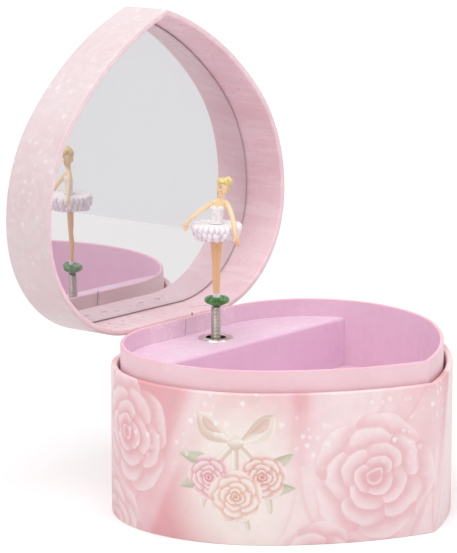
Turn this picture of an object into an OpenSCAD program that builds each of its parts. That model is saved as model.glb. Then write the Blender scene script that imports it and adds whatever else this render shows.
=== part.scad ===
// Heart-plan musical jewellery box with a turning dancer on a spring.
// +Z is up, the hinge is at +Y, the pointed front is at -Y, millimetres.
// The origin is on the table, in the middle of the back wall's lower edge.

/* [Plan of the case] */
// Half width of the straight back
back_half = 29; // [20:0.5:34]
// Radius of each rounded back corner
corner_r = 55; // [48:0.5:60]
// Radius of each flank
flank_r = 76; // [68:1:90]
// Radius of each long front side
front_r = 148; // [130:1:180]
// Radius on the pointed front
tip_r = 2.5; // [1:0.1:4]

/* [Base] */
// Height of the base wall
base_h = 69; // [64:0.5:80]
// Thickness of the base wall
wall_t = 3; // [2.4:0.1:4]
// Height of the hollow for the key under the floor
recess_h = 15; // [14:0.5:18]
// Thickness of the floor board
floor_t = 2.5; // [2:0.1:4]
// Thickness of the inner collar
collar_t = 1.8; // [1.2:0.1:2.6]
// Gap between the base wall and the collar
collar_gap = 1.3; // [1.2:0.1:2]
// How far the collar stands above the base wall
collar_up = 9.5; // [6:0.5:14]
// Height of the tray floor above the table
tray_z = 46; // [44.5:0.5:52]
// Thickness of the tray and stage boards
board_t = 2; // [1.5:0.1:3]
// Height of the stage top above the base rim
stage_up = 1; // [-2:0.1:4]
// Depth of the stage, from the back of the case to its front board
stage_depth = 38; // [35:0.5:43]

/* [Lid] */
// Outside depth of the lid
lid_h = 27.4; // [26:0.2:34]
// Thickness of the lid wall
lid_wall_t = 3; // [2.4:0.1:4]
// Thickness of the lid's top board
lid_top_t = 2.4; // [2:0.1:4]
// Opening between the closed lid and the base
lid_gap = 0.3; // [0.2:0.1:0.8]
// Angle of the open lid
lid_open = 91.2; // [80:0.2:95]
// Thickness of the mirror glass
mirror_t = 2; // [1.5:0.1:3]
// Thickness of the board behind the mirror
backing_t = 1; // [0.6:0.1:1.6]
// Gap round the edge of the mirror
mirror_gap = 0.4; // [0.3:0.1:1]

/* [Hinges] */
// Distance of the hinge pin behind the case
hinge_out = 4.9; // [4.2:0.1:6]
// Drop of the hinge pin below the base rim
hinge_drop = 1; // [0.5:0.1:1.4]
// Distance of each hinge from the middle
hinge_x = 19; // [15:0.5:19.5]
// Width of one hinge
hinge_w = 18; // [15:0.5:19]
// Radius of the hinge knuckles
knuckle_r = 2; // [1.6:0.1:2.2]
// Radius of the hinge pin
pin_r = 0.9; // [0.6:0.05:1.1]
// Thickness of the hinge leaves
leaf_t = 0.8; // [0.6:0.1:1]
// Height of each hinge leaf
leaf_h = 14; // [11:0.5:18]

/* [Dancer] */
// Distance of the dancer's post from the back of the case
post_back = 20.4; // [19:0.2:22]
// Outer radius of the coil spring
spring_r = 2.3; // [1.8:0.1:2.6]
// Wire thickness of the coil spring
spring_wire = 0.7; // [0.5:0.05:0.8]
// Height of the spring above the stage
spring_up = 15.3; // [14:0.1:18]
// Radius of the hole ringed by the eyelet
eyelet_hole_r = 4.8; // [4.4:0.1:6]
// Outer radius of the eyelet flange
eyelet_r = 8.5; // [7.5:0.1:10]
// Radius of the leaf pad under the shoes
pad_r = 5.9; // [5:0.1:6.4]
// Height of the dancer from pad to crown
dancer_h = 57; // [54:0.5:60]
// Radius of the tutu
tutu_r = 11.6; // [10:0.1:12]
// Direction that the dancer faces at rest
dancer_turn = -49; // [-60:1:-40]

/* [Movement] */
// Length of the cast bedplate
bed_l = 60; // [59:1:64]
// Width of the cast bedplate
bed_w = 42; // [40:1:44]
// Thickness of the cast bedplate
bed_t = 2; // [1.6:0.1:3]
// Radius of the spring barrel
barrel_r = 10; // [9.6:0.1:11]
// Height of the spring barrel
barrel_h = 9; // [8:0.5:10]
// Clearance of a shaft in its bearing
run_gap = 0.05; // [0.03:0.01:0.08]
// Radius of the winding arbor
arbor_r = 1.6; // [1.3:0.1:1.8]
// Radius of the output spindle
spindle_r = 1.3; // [1:0.1:1.4]
// Radius of the pinned cylinder
cylinder_r = 6.5; // [6:0.1:7]
// Length of the pinned cylinder
cylinder_l = 20; // [18:0.5:21]
// Number of teeth on the comb
comb_teeth = 18; // [12:1:18]
// Number of rings of pins along the cylinder's turn
pin_rows = 8; // [4:1:10]
// Span of the winding key's wings
key_span = 24; // [20:1:28]
// Thickness of the winding key's wings
key_t = 2.4; // [2:0.1:3]
// Radius of the lid-worked stop wire
stop_wire_r = 0.45; // [0.35:0.05:0.5]

/* [Hidden] */
$fn = 48;

// Two of the outline's arcs end at these directions, counted from +X
corner_end = 4;
flank_end = -40;
tip_least = 0.3;
// Side of the boxes that cut the boards, wider than any plan
clip = 2 * (back_half + front_r);

back_y = wall_t / 2;
stage_y = back_y - stage_depth;
stage_z = base_h + stage_up;
post_y = back_y - post_back;
collar_out = wall_t + collar_gap;
collar_in = collar_out + collar_t;
floor_z = recess_h + floor_t;
collar_top = base_h + collar_up;
hinge_y = back_y + hinge_out;
hinge_z = base_h - hinge_drop;
lid_z = base_h + lid_gap;
lid_inner_z = lid_z + lid_h - lid_top_t;
mirror_z = lid_inner_z - backing_t - mirror_t;
spring_top = stage_z + spring_up;
pad_h = 4.4;
pad_dip = 0.6;
pad_bowl_r = 2.5;
foot_z = spring_top + pad_h - pad_dip;
waist_r = 3.05;
tutu_folds = 24;

// Heights of the movement, built up from the floor board
bed_top = floor_z + bed_t;
barrel_z = bed_top + 1.2;
cap_t = 1.4;
drum_top = barrel_z + barrel_h;
cap_top = drum_top + cap_t;
crown_teeth = 32;
crown_r = barrel_r - 0.9;
crown_pitch = 2 * PI * crown_r / crown_teeth;
tooth_up = 0.45;
tooth_down = 0.6;
pinion_teeth = 8;
pinion_r = pinion_teeth * crown_pitch / (2 * PI);
cylinder_z = cap_top + tooth_down + pinion_r;
cylinder_x = barrel_r + 3.4;
cylinder_end = cylinder_x + cylinder_l;
cyl_arbor_r = 0.9;
gov_shaft_r = 0.8;
gear_x = cylinder_end + 0.6;
gear_t = 1.6;
gear_teeth = 24;
gear_module = 0.6;
gear_r = gear_teeth * gear_module / 2;
gov_teeth = 8;
gov_r = gov_teeth * gear_module / 2;
gov_reach = gear_r + gov_r + 0.08;
gov_y = post_y + gov_reach * cos(45);
gov_z = cylinder_z + gov_reach * sin(45);
bracket_t = 1.6;
bracket_w = 6.5;
bracket_front = 4;
bracket_over = 2.6;
mount_gap = 0.5;
gov_case_x = gear_x + gear_t + 0.7;
gov_case_l = 7;
gov_case_w = 8;
gov_case_over = 2.4;
bed_x = gov_case_x + gov_case_l + 0.9 - bed_l;
bed_y = post_y - 29;
bed_corner = 6;
comb_t = 1.2;
comb_z = cylinder_z - comb_t / 2;
comb_gap = 0.85;
comb_tip_y = post_y - cylinder_r - comb_gap;
comb_len = 14;
comb_root = 7;
pin_up = 0.6;
screw_r = 1.1;
spring_foot = stage_z - 5;
stop_x = 2;
stop_travel = 3;
stop_z = gov_z + gov_r + 0.5 + stop_travel + 0.3 + stop_wire_r;
stop_y = back_y - wall_t - collar_gap / 2;

// Right half of the outline, grown outwards by d: back, corner, flank, front side
function arc_pts(c, r, a0, a1, n) =
    [for (i = [0:n]) let (a = a0 + (a1 - a0) * i / n) c + r * [cos(a), sin(a)]];
function corner_c() = [back_half, back_y - corner_r];
function flank_c() = corner_c() - (flank_r - corner_r) * [cos(corner_end), sin(corner_end)];
function front_c() = flank_c() - (front_r - flank_r) * [cos(flank_end), sin(flank_end)];
// The tip's round touches both front arcs from inside, grown by d
function tip_round(d) = max(tip_r + d, tip_least);
function tip_c(d) =
    let (reach = front_r + d - tip_round(d))
    [0, front_c()[1] - sqrt(reach * reach - front_c()[0] * front_c()[0])];
function front_end(d) = -acos(-front_c()[0] / (front_r + d - tip_round(d)));
function half_outline(d) =
    concat(
        arc_pts(corner_c(), corner_r + d, 90, corner_end, 16),
        arc_pts(flank_c(), flank_r + d, corner_end - 4, flank_end, 9),
        arc_pts(front_c(), front_r + d, flank_end - 4, front_end(d), 6),
        arc_pts(tip_c(d), tip_round(d), front_end(d), -90, 3));
function flipped(pts) = [for (i = [len(pts) - 2:-1:0]) [-pts[i][0], pts[i][1]]];
function outline(d) = let (h = half_outline(d)) concat(h, flipped(h));

module plan(d) {
    polygon(outline(d));
}

// Slab of the plan between two heights
module slab(d, z0, z1) {
    translate([0, 0, z0])
        linear_extrude(z1 - z0)
            plan(d);
}

// Ring of the plan, from offset d_out in to offset d_in
module ring(d_out, d_in, z0, z1) {
    translate([0, 0, z0])
        linear_extrude(z1 - z0)
            difference() {
                plan(d_out);
                plan(d_in);
            }
}

// Puts children, modelled with the lid closed, into the open position
module opened() {
    translate([0, hinge_y, hinge_z])
        rotate([-lid_open, 0, 0])
            translate([0, -hinge_y, -hinge_z])
                children();
}

module at_both_hinges() {
    for (side = [-1, 1])
        translate([side * hinge_x, 0, 0])
            children();
}

module rod(p, axis, r, l) {
    translate(p)
        rotate(axis == "x" ? [0, 90, 0] : axis == "y" ? [-90, 0, 0] : [0, 0, 0])
            cylinder(r = r, h = l);
}

// ---- Case ----

module base_wall() {
    color("lightpink")
        difference() {
            ring(0, -wall_t, 0, base_h);
            at_rivets(-1)
                rod([0, back_y - wall_t - 1, 0], "y", rivet_r, wall_t + 2);
        }
}

module base_floor() {
    color("tan")
        difference() {
            slab(-wall_t, recess_h, floor_z);
            rod([0, post_y, recess_h - 1], "z", arbor_r + 1, floor_t + 2);
            for (p = screw_places)
                rod([p[0], p[1], recess_h - 1], "z", screw_r, floor_t + 2);
        }
}

module collar() {
    slot_w = 2 * stop_wire_r + 0.8;
    slot_z = stop_z - stop_travel - stop_wire_r - 0.4;
    color("pink")
        difference() {
            ring(-collar_out, -collar_in, floor_z, collar_top);
            translate([stop_x - slot_w / 2, back_y - collar_in - 1, slot_z])
                cube([slot_w, collar_t + 2, stop_travel + slot_w]);
        }
}

module tray_floor() {
    color("plum")
        intersection() {
            slab(-collar_in, tray_z - board_t, tray_z);
            translate([-clip / 2, stage_y - clip, 0])
                cube([clip, clip, stage_z]);
        }
}

module stage_front() {
    color("orchid")
        intersection() {
            slab(-collar_in, tray_z - board_t, stage_z - board_t);
            translate([-clip / 2, stage_y, 0])
                cube([clip, board_t, stage_z]);
        }
}

module stage_top() {
    color("thistle")
        difference() {
            intersection() {
                slab(-collar_in, stage_z - board_t, stage_z);
                translate([-clip / 2, stage_y, 0])
                    cube([clip, clip, stage_z]);
            }
            rod([0, post_y, stage_z - 10], "z", eyelet_hole_r + 0.6, 20);
        }
}

module stage_eyelet() {
    flange_t = 0.5;
    color("silver")
        translate([0, post_y, 0])
            rotate_extrude()
                polygon([
                    [eyelet_hole_r, stage_z - board_t - 0.8],
                    [eyelet_hole_r + 0.6, stage_z - board_t - 0.8],
                    [eyelet_hole_r + 0.6, stage_z],
                    [eyelet_r, stage_z],
                    [eyelet_r - 0.3, stage_z + flange_t],
                    [eyelet_hole_r + 0.8, stage_z + flange_t + 0.3],
                    [eyelet_hole_r, stage_z + flange_t]
                ]);
}

// ---- Hinges ----

rivet_r = 0.8;
knuckles = 5;

module at_rivets(side) {
    for (sx = [-1, 1], dx = [-1, 1])
        translate([sx * hinge_x + dx * (hinge_w / 2 - 3), 0, hinge_z + side * (leaf_h - 3.5)])
            children();
}

// One leaf against the back, with every second knuckle, closed position
module leaf(side, first) {
    step = hinge_w / knuckles;
    z_far = hinge_z + side * leaf_h;
    web_z = hinge_z + side * (knuckle_r + 0.2);
    difference() {
        union() {
            translate([-hinge_w / 2, back_y, min(web_z, z_far)])
                cube([hinge_w, leaf_t, abs(z_far - web_z)]);
            for (i = [first:2:knuckles - 1])
                translate([-hinge_w / 2 + i * step + 0.1, 0, 0]) {
                    rod([0, hinge_y, hinge_z], "x", knuckle_r, step - 0.2);
                    translate([0, back_y, min(web_z, web_z + side * 1.2)])
                        cube([step - 0.2, hinge_out + 0.9, 1.2]);
                    translate([0, hinge_y - 0.9, min(hinge_z, web_z + side * 0.6)])
                        cube([step - 0.2, 1.8, abs(web_z + side * 0.6 - hinge_z)]);
                }
        }
        rod([-hinge_w, hinge_y, hinge_z], "x", pin_r + run_gap, 2 * hinge_w);
        for (dx = [-1, 1])
            rod([dx * (hinge_w / 2 - 3), back_y - 1, hinge_z + side * (leaf_h - 3.5)],
                "y", rivet_r, leaf_t + 2);
    }
}

module base_hinge_leaves() {
    color("silver")
        at_both_hinges()
            leaf(-1, 0);
}

module lid_hinge_leaves() {
    color("silver")
        opened()
            at_both_hinges()
                leaf(1, 1);
}

module hinge_pins() {
    color("gainsboro")
        at_both_hinges() {
            rod([-hinge_w / 2 - 0.4, hinge_y, hinge_z], "x", pin_r, hinge_w + 0.8);
            for (x = [-hinge_w / 2 - 0.7, hinge_w / 2 + 0.1])
                rod([x, hinge_y, hinge_z], "x", pin_r + 0.4, 0.6);
        }
}

module rivet_row(side, inner_y) {
    at_rivets(side)
        translate([0, inner_y, 0])
            rotate([-90, 0, 0])
                rotate_extrude()
                    polygon([
                        [0, -0.4], [1.5, -0.4], [1.5, 0], [rivet_r, 0],
                        [rivet_r, back_y + leaf_t - inner_y], [1.6, back_y + leaf_t - inner_y],
                        [1.1, back_y + leaf_t + 0.6 - inner_y], [0, back_y + leaf_t + 0.7 - inner_y]
                    ]);
}

module hinge_rivets_base() {
    color("silver")
        rivet_row(-1, back_y - wall_t);
}

module hinge_rivets_lid() {
    color("silver")
        opened()
            rivet_row(1, back_y - lid_wall_t);
}

// ---- Lid ----

module lid_wall() {
    color("mistyrose")
        opened()
            difference() {
                ring(0, -lid_wall_t, lid_z, lid_inner_z);
                at_rivets(1)
                    rod([0, back_y - lid_wall_t - 1, 0], "y", rivet_r, lid_wall_t + 2);
            }
}

module lid_top() {
    color("mistyrose")
        opened()
            slab(0, lid_inner_z, lid_z + lid_h);
}

module mirror_backing() {
    color("tan")
        opened()
            slab(-lid_wall_t - mirror_gap, lid_inner_z - backing_t, lid_inner_z);
}

module mirror() {
    color("lightgray")
        opened()
            slab(-lid_wall_t - mirror_gap, mirror_z, lid_inner_z - backing_t);
}

// ---- Movement ----

screw_in = 3.5;
screw_places = [
    for (x = [bed_x + screw_in, bed_x + bed_l - screw_in])
        for (y = [bed_y + screw_in, bed_y + bed_w - screw_in]) [x, y]
];

module movement_bedplate() {
    color("dimgray")
        difference() {
            translate([bed_x, bed_y, floor_z])
                linear_extrude(bed_t)
                    offset_rect(bed_l, bed_w, bed_corner);
            rod([0, post_y, floor_z - 1], "z", arbor_r + run_gap, bed_t + 2);
            for (p = screw_places)
                rod([p[0], p[1], floor_z - 1], "z", screw_r, bed_t + 2);
        }
}

// Rectangle with round corners, made of exact arcs
module offset_rect(l, w, r) {
    translate([r, 0])
        square([l - 2 * r, w]);
    translate([0, r])
        square([l, w - 2 * r]);
    for (x = [r, l - r], y = [r, w - r])
        translate([x, y])
            circle(r = r);
}

module movement_screws() {
    color("silver")
        for (p = screw_places)
            translate([p[0], p[1], 0]) {
                rod([0, 0, recess_h], "z", screw_r, floor_t + bed_t);
                rod([0, 0, recess_h - 1.4], "z", 2 * screw_r, 1.4);
            }
}

bridge_w = 6;
bridge_up = 4;
bridge_z = cylinder_z + bridge_up;
bridge_arm = barrel_r + 1.2;

module barrel_bridge() {
    color("darkgray")
        difference() {
            union() {
                translate([-bridge_w / 2, post_y - bridge_arm - bracket_t, bed_top])
                    cube([bridge_w, bracket_t, bridge_z - bed_top]);
                translate([-bridge_w / 2, post_y + bridge_arm, bed_top])
                    cube([bridge_w, bracket_t, bridge_z - bed_top]);
                translate([-bridge_w / 2, post_y - bridge_arm - bracket_t, bridge_z])
                    cube([bridge_w, 2 * (bridge_arm + bracket_t), bracket_t]);
                rod([0, post_y, bridge_z], "z", 2.8, bracket_t + 1.2);
            }
            rod([0, post_y, bridge_z - 1], "z", spindle_r + run_gap, 10);
        }
}

module barrel_drum() {
    rim_t = 0.8;
    color("goldenrod")
        translate([0, post_y, 0])
            difference() {
                rod([0, 0, barrel_z], "z", barrel_r, barrel_h);
                rod([0, 0, barrel_z + rim_t], "z", barrel_r - rim_t, barrel_h);
                rod([0, 0, barrel_z - 1], "z", arbor_r + run_gap, barrel_h);
            }
}

module barrel_cap() {
    color("gold")
        translate([0, post_y, 0]) {
            difference() {
                rod([0, 0, barrel_z + barrel_h], "z", barrel_r, cap_t);
                rod([0, 0, barrel_z + barrel_h - 1], "z", spindle_r, cap_t + 2);
            }
            for (i = [0:crown_teeth - 1])
                rotate([0, 0, (i + 0.5) * 360 / crown_teeth])
                    translate([crown_r - 0.9, -crown_pitch * 0.17, cap_top - 0.1])
                        cube([1.8, crown_pitch * 0.34, 0.1 + tooth_up + tooth_down]);
        }
}

// The flange that carries the spring
flange_t = 1;

module output_spindle() {
    color("silver")
        translate([0, post_y, 0]) {
            rod([0, 0, drum_top], "z", spindle_r, spring_foot - 0.5 * flange_t - drum_top);
            rod([0, 0, spring_foot - flange_t], "z", spring_r, flange_t);
        }
}

// Flat spiral strip wound from the arbor out to the drum's wall
module mainspring() {
    strip = 0.35;
    turns = 6;
    steps = 16 * turns;
    r0 = arbor_r + 0.35;
    r1 = barrel_r - 0.8 - strip - 0.05;
    function spiral(k, w) = let (a = 360 * turns * k / steps, r = r0 + w + (r1 - r0) * k / steps)
        r * [cos(a), sin(a)];
    color("steelblue")
        translate([0, post_y, barrel_z + 1.3])
            linear_extrude(barrel_h - 2)
                polygon(concat([for (k = [0:steps]) spiral(k, 0)],
                    [for (k = [steps:-1:0]) spiral(k, strip)]));
}

key_drop = 12;
key_hub_h = 8;
key_seat = 2;
key_hub_t = 1.6;
key_hole_r = 1.7;
wing_r = key_hub_h / 2 - 0.3;
wing_h = key_hub_h - 3;
key_z = recess_h - key_drop;

module winding_arbor() {
    color("silver")
        rod([0, post_y, key_z + key_seat], "z", arbor_r, drum_top - mount_gap * 2 - key_z - key_seat);
}

module winding_key() {
    color("gold")
        translate([0, post_y, 0])
            difference() {
                union() {
                    rod([0, 0, key_z], "z", arbor_r + key_hub_t, key_hub_h);
                    for (side = [-1, 1])
                        translate([side * key_span / 4, 0, key_z + key_hub_h / 2])
                            rotate([90, 0, 0])
                                translate([0, 0, -key_t / 2])
                                    linear_extrude(key_t)
                                        difference() {
                                            wing_shape();
                                            circle(r = key_hole_r);
                                        }
                }
                rod([0, 0, key_z + key_seat], "z", arbor_r, key_hub_h);
            }
}

module wing_shape() {
    square([key_span / 2 - 2 * wing_r + wing_h - 0.6, wing_h], center = true);
    for (side = [-1, 1])
        translate([side * (key_span / 4 - wing_r + 1.3), 0])
            circle(r = wing_r);
}

module cylinder_brackets() {
    color("darkgray")
        for (x = [cylinder_x - bracket_t - mount_gap, gear_x + gear_t + mount_gap])
            difference() {
                translate([x, post_y - bracket_front, bed_top])
                    cube([bracket_t, bracket_w, cylinder_z + bracket_over - bed_top]);
                rod([x - 1, post_y, cylinder_z], "x", cyl_arbor_r + run_gap, bracket_t + 2);
            }
}

// Brass barrel with its playing pins, set in rows by a rule
module pinned_cylinder() {
    pitch = (cylinder_l - 2) / comb_teeth;
    color("khaki")
        difference() {
            union() {
                rod([cylinder_x, post_y, cylinder_z], "x", cylinder_r, cylinder_l);
                for (k = [0:comb_teeth - 1], row = [0:pin_rows - 1])
                    if ((k * 5 + row * row * 3) % 7 < 2)
                        translate([cylinder_x + 1 + (k + 0.5) * pitch, post_y, cylinder_z])
                            rotate([row * 360 / pin_rows + k * 8, 0, 0])
                                cylinder(r = 0.25, h = cylinder_r + pin_up, $fn = 4);
            }
            rod([cylinder_x - 1, post_y, cylinder_z], "x", cyl_arbor_r, cylinder_l + 2);
        }
}

// Spur wheel across X, teeth as plain trapezoids, first tooth turned by phase
module spur(x, t, teeth, r, add, ded, width, phase) {
    translate([x, 0, 0])
        rotate([0, 90, 0])
            linear_extrude(t)
                rotate(phase)
                    polygon([
                        for (i = [0:teeth - 1], s = [[-width, r - ded], [-width * 0.62, r + add],
                                                     [width * 0.62, r + add], [width, r - ded]])
                            let (a = 360 * i / teeth + s[0] / r * 180 / PI)
                                s[1] * [cos(a), sin(a)]
                    ]);
}

module cylinder_arbor() {
    color("silver")
        translate([0, post_y, cylinder_z]) {
            arbor_x0 = crown_r - 1;
            rod([arbor_x0, 0, 0], "x", cyl_arbor_r, gear_x + gear_t + bracket_t + 1 - arbor_x0);
            spur(arbor_x0, 2, pinion_teeth, pinion_r, tooth_up, tooth_down, crown_pitch * 0.22, 0);
            spur(gear_x, gear_t, gear_teeth, gear_r, 0.5, 0.65, gear_r * PI / gear_teeth * 0.55, 90);
        }
}

module comb() {
    pitch = (cylinder_l - 2) / comb_teeth;
    color("lightsteelblue")
        difference() {
            union() {
                translate([cylinder_x + 1, comb_tip_y - comb_len - comb_root, comb_z])
                    cube([cylinder_l - 2, comb_root, comb_t]);
                for (k = [0:comb_teeth - 1])
                    translate([cylinder_x + 1 + (k + 0.14) * pitch, comb_tip_y - comb_len - 0.1, comb_z])
                        cube([pitch * 0.72, comb_len + 0.1, comb_t]);
            }
            for (x = comb_screw_x)
                rod([x, comb_tip_y - comb_len - comb_root / 2, comb_z - 1], "z", screw_r, 5);
        }
}

comb_screw_x = [cylinder_x + 5, cylinder_end - 5];

module comb_seat() {
    color("dimgray")
        difference() {
            translate([cylinder_x + 1, comb_tip_y - comb_len - comb_root, bed_top])
                cube([cylinder_l - 2, comb_root, comb_z - bed_top]);
            for (x = comb_screw_x)
                rod([x, comb_tip_y - comb_len - comb_root / 2, comb_z - 5], "z", screw_r, 8);
        }
}

module comb_screws() {
    color("silver")
        for (x = comb_screw_x)
            translate([x, comb_tip_y - comb_len - comb_root / 2, 0]) {
                rod([0, 0, comb_z - 4.5], "z", screw_r, comb_t + 4.5);
                rod([0, 0, comb_z + comb_t], "z", 1.9, 1.2);
            }
}

module governor_housing() {
    color("white")
        difference() {
            translate([gov_case_x, gov_y - gov_case_w / 2, bed_top])
                cube([gov_case_l, gov_case_w, gov_z + gov_case_over - bed_top]);
            rod([gov_case_x - 1, gov_y, gov_z], "x", gov_shaft_r + run_gap, gov_case_l);
        }
}

module governor_pinion() {
    color("white")
        translate([0, gov_y, gov_z]) {
            spur(gear_x, gear_t, gov_teeth, gov_r, 0.5, 0.65, gov_r * PI / gov_teeth * 0.55,
                180 / gov_teeth);
            rod([gear_x - 0.4, 0, 0], "x", gov_shaft_r, gov_case_x + gov_case_l - 2 - gear_x);
        }
}

// Wire up the back behind the collar, in through its slot and across to the governor
module stop_wire() {
    color("silver") {
        rod([stop_x, stop_y, stop_z], "z", stop_wire_r, collar_top + 1.1 - stop_z);
        rod([stop_x, gov_y, stop_z], "y", stop_wire_r, stop_y - gov_y);
        rod([stop_x, gov_y, stop_z], "x", stop_wire_r, gear_x + gear_t - stop_x);
        translate([stop_x, stop_y, stop_z])
            sphere(r = stop_wire_r);
        translate([stop_x, gov_y, stop_z])
            sphere(r = stop_wire_r);
    }
}

// ---- Dancer ----

// Close-wound spring as a ribbed sleeve
module dancer_spring() {
    turns = floor((spring_top - spring_foot) / spring_wire);
    pitch = (spring_top - spring_foot) / turns;
    inner = spring_r - spring_wire;
    color("silver")
        translate([0, post_y, spring_foot])
            rotate_extrude()
                polygon(concat([[inner, 0]],
                    [for (i = [0:turns - 1], s = [0, 1])
                        s == 0 ? [spring_r - 0.18, i * pitch] : [spring_r, (i + 0.5) * pitch]],
                    [[spring_r - 0.18, turns * pitch], [inner, turns * pitch]]));
}

module on_post() {
    translate([0, post_y, 0])
        rotate([0, 0, dancer_turn])
            children();
}

// One plump lobe of the leaf, turned
module pad_lobe(r) {
    rotate_extrude()
        polygon([
            [0, 0], [r * 0.42, 0], [r * 0.8, pad_h * 0.27], [r, pad_h * 0.59],
            [r * 0.95, pad_h * 0.82], [r * 0.72, pad_h], [0, pad_h]
        ]);
}

// Heart-shaped leaf, notch to the front, with a hollow for the shoes
module dancer_pad() {
    lobe_r = pad_r * 0.68;
    color("forestgreen")
        on_post()
            translate([hip, 0, spring_top])
                difference() {
                    union() {
                        for (side = [-1, 1])
                            translate([side * (pad_r - lobe_r), -pad_r * 0.14, 0])
                                pad_lobe(lobe_r);
                        translate([0, pad_r * 0.22, 0])
                            pad_lobe(pad_r * 0.74);
                    }
                    rod([0, 0, pad_h - pad_dip], "z", pad_bowl_r, pad_h);
                }
}

function on_h(k) = foot_z + k * dancer_h;
// A length on the figure, given as thousandths of her height
function off(k) = k * dancer_h / 1000;
function spot(x, y, k) = [off(x), off(y), on_h(k)];
hip = off(8);
leg_x = off(14);
left_elbow = spot(-138, -10, 0.723);
left_wrist = spot(-212, -18, 0.655);
left_hand = spot(-236, -22, 0.59);
right_elbow = spot(128, -80, 0.705);
right_wrist = spot(146, -160, 0.57);
right_hand = spot(158, -172, 0.5);
skull = spot(58, -3, 0.939);
jaw = spot(42, -16, 0.898);
chin = spot(27, -21, 0.871);
nape = spot(30, 2, 0.805);
arm_gap = 0.3;
layer_gap = 0.03;

module limb(a, ra, b, rb) {
    hull() {
        translate(a)
            sphere(r = ra, $fn = 16);
        translate(b)
            sphere(r = rb, $fn = 16);
    }
}

// Round bar from a to b, run on past both by a share of its length
module strut(a, b, r, past) {
    v = b - a;
    run = norm(v);
    translate(a)
        rotate([0, acos(v[2] / run), atan2(v[1], v[0])])
            translate([0, 0, -run * past])
                cylinder(r = r, h = run * (1 + 2 * past));
}

// Shoulders, waist and hips, grown outwards by d
module torso(d) {
    translate([hip, 0, 0])
        rotate_extrude()
            polygon([
                [0, on_h(0.5)], [off(44) + d, on_h(0.5)], [off(38) + d, on_h(0.58)],
                [off(30) + d, on_h(0.656)], [off(35) + d, on_h(0.718)], [off(42) + d, on_h(0.774)],
                [off(30) + d, on_h(0.81)], [0, on_h(0.82)]
            ]);
}

// Skull, jaw, chin and neck, grown outwards by d
module head(d) {
    translate(skull)
        sphere(r = off(47) + d, $fn = 32);
    translate(jaw)
        sphere(r = off(31) + d, $fn = 32);
    translate(chin)
        sphere(r = off(14) + d, $fn = 24);
    strut(nape, skull, off(19) + d, 0);
}

// Legs, torso, arms and head in one moulding; X is the line of the arms
module dancer_figure() {
    color("burlywood")
        on_post() {
            for (side = [-1, 1])
                translate([hip + side * leg_x, 0, 0])
                    rotate_extrude()
                        polygon([
                            [0, on_h(0.035)], [off(15), on_h(0.035)], [off(14), on_h(0.08)],
                            [off(18), on_h(0.17)], [off(18), on_h(0.28)], [off(23), on_h(0.37)],
                            [off(28), on_h(0.48)], [off(29), on_h(0.54)], [0, on_h(0.54)]
                        ]);
            torso(0);
            head(0);
            limb(spot(-28, 0, 0.8), off(20), spot(88, -2, 0.797), off(20));
            limb(spot(-28, 0, 0.8), off(20), left_elbow, off(16));
            limb(left_elbow, off(16), left_wrist, off(12));
            limb(left_wrist, off(12), left_hand, off(15));
            limb(spot(88, -2, 0.797), off(20), right_elbow, off(16));
            limb(right_elbow, off(16), right_wrist, off(12));
            limb(right_wrist, off(12), right_hand, off(15));
        }
}

module dancer_shoes() {
    color("white")
        on_post()
            for (side = [-1, 1])
                translate([hip + side * leg_x, 0, 0])
                    rotate_extrude()
                        polygon([
                            [0, foot_z], [off(13), foot_z], [off(19), on_h(0.012)],
                            [off(18), on_h(0.035)], [0, on_h(0.035)]
                        ]);
}

// Fitted bodice with a heart-shaped neckline
module dancer_bodice() {
    color("white")
        on_post()
            difference() {
                union() {
                    translate([hip, 0, 0])
                        rotate_extrude()
                            polygon([
                                [off(15), on_h(0.56)], [off(49), on_h(0.56)], [off(46), on_h(0.6)],
                                [off(44), on_h(0.656)], [off(50), on_h(0.7)], [off(56), on_h(0.74)],
                                [off(52), on_h(0.758)], [off(15), on_h(0.758)]
                            ]);
                    for (side = [-1, 1])
                        translate([hip + side * off(29), off(-23), on_h(0.752)])
                            sphere(r = off(26), $fn = 32);
                }
                torso(layer_gap);
                strut(spot(-60, 0, 0.8), spot(110, -2, 0.797), off(20) + layer_gap, 0);
                strut(spot(-28, 0, 0.8), left_elbow, off(20) + layer_gap, 0);
            }
}

// Hair swept up into a bun
module dancer_hair() {
    color("khaki")
        on_post()
            difference() {
                union() {
                    translate(skull + [off(9), off(9), off(11)])
                        sphere(r = off(50), $fn = 32);
                    translate(skull + [off(52), off(9), off(32)])
                        sphere(r = off(41), $fn = 32);
                }
                head(layer_gap);
            }
}

// Fluted tier of the skirt, its folds turned by a share of one fold
module tutu_tier(r, low, high, turn) {
    fold_r = off(21);
    difference() {
        rotate_extrude()
            polygon([
                [waist_r, on_h(high + 0.012)], [r * 0.55, on_h(high + 0.006)], [r * 0.97, on_h(high - 0.012)],
                [r, on_h((low + high) / 2)], [r * 0.95, on_h(low)], [waist_r, on_h(low)]
            ]);
        for (i = [0:tutu_folds - 1])
            rotate([0, 0, (i + turn) * 360 / tutu_folds])
                translate([r + fold_r * 0.62, 0, on_h(low - 0.1)])
                    cylinder(r = fold_r, h = off(300), $fn = 20);
    }
}

// Gathered skirt in two tiers, with a way through for the right arm
module dancer_tutu() {
    color("white")
        on_post()
            difference() {
                translate([hip, 0, 0]) {
                    tutu_tier(tutu_r, 0.54, 0.59, 0);
                    tutu_tier(tutu_r * 0.97, 0.475, 0.54, 0.5);
                }
                strut(right_elbow, right_wrist, off(16) + arm_gap, 0.5);
                strut(right_wrist, right_hand, off(16) + arm_gap, 0.4);
            }
}

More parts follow.
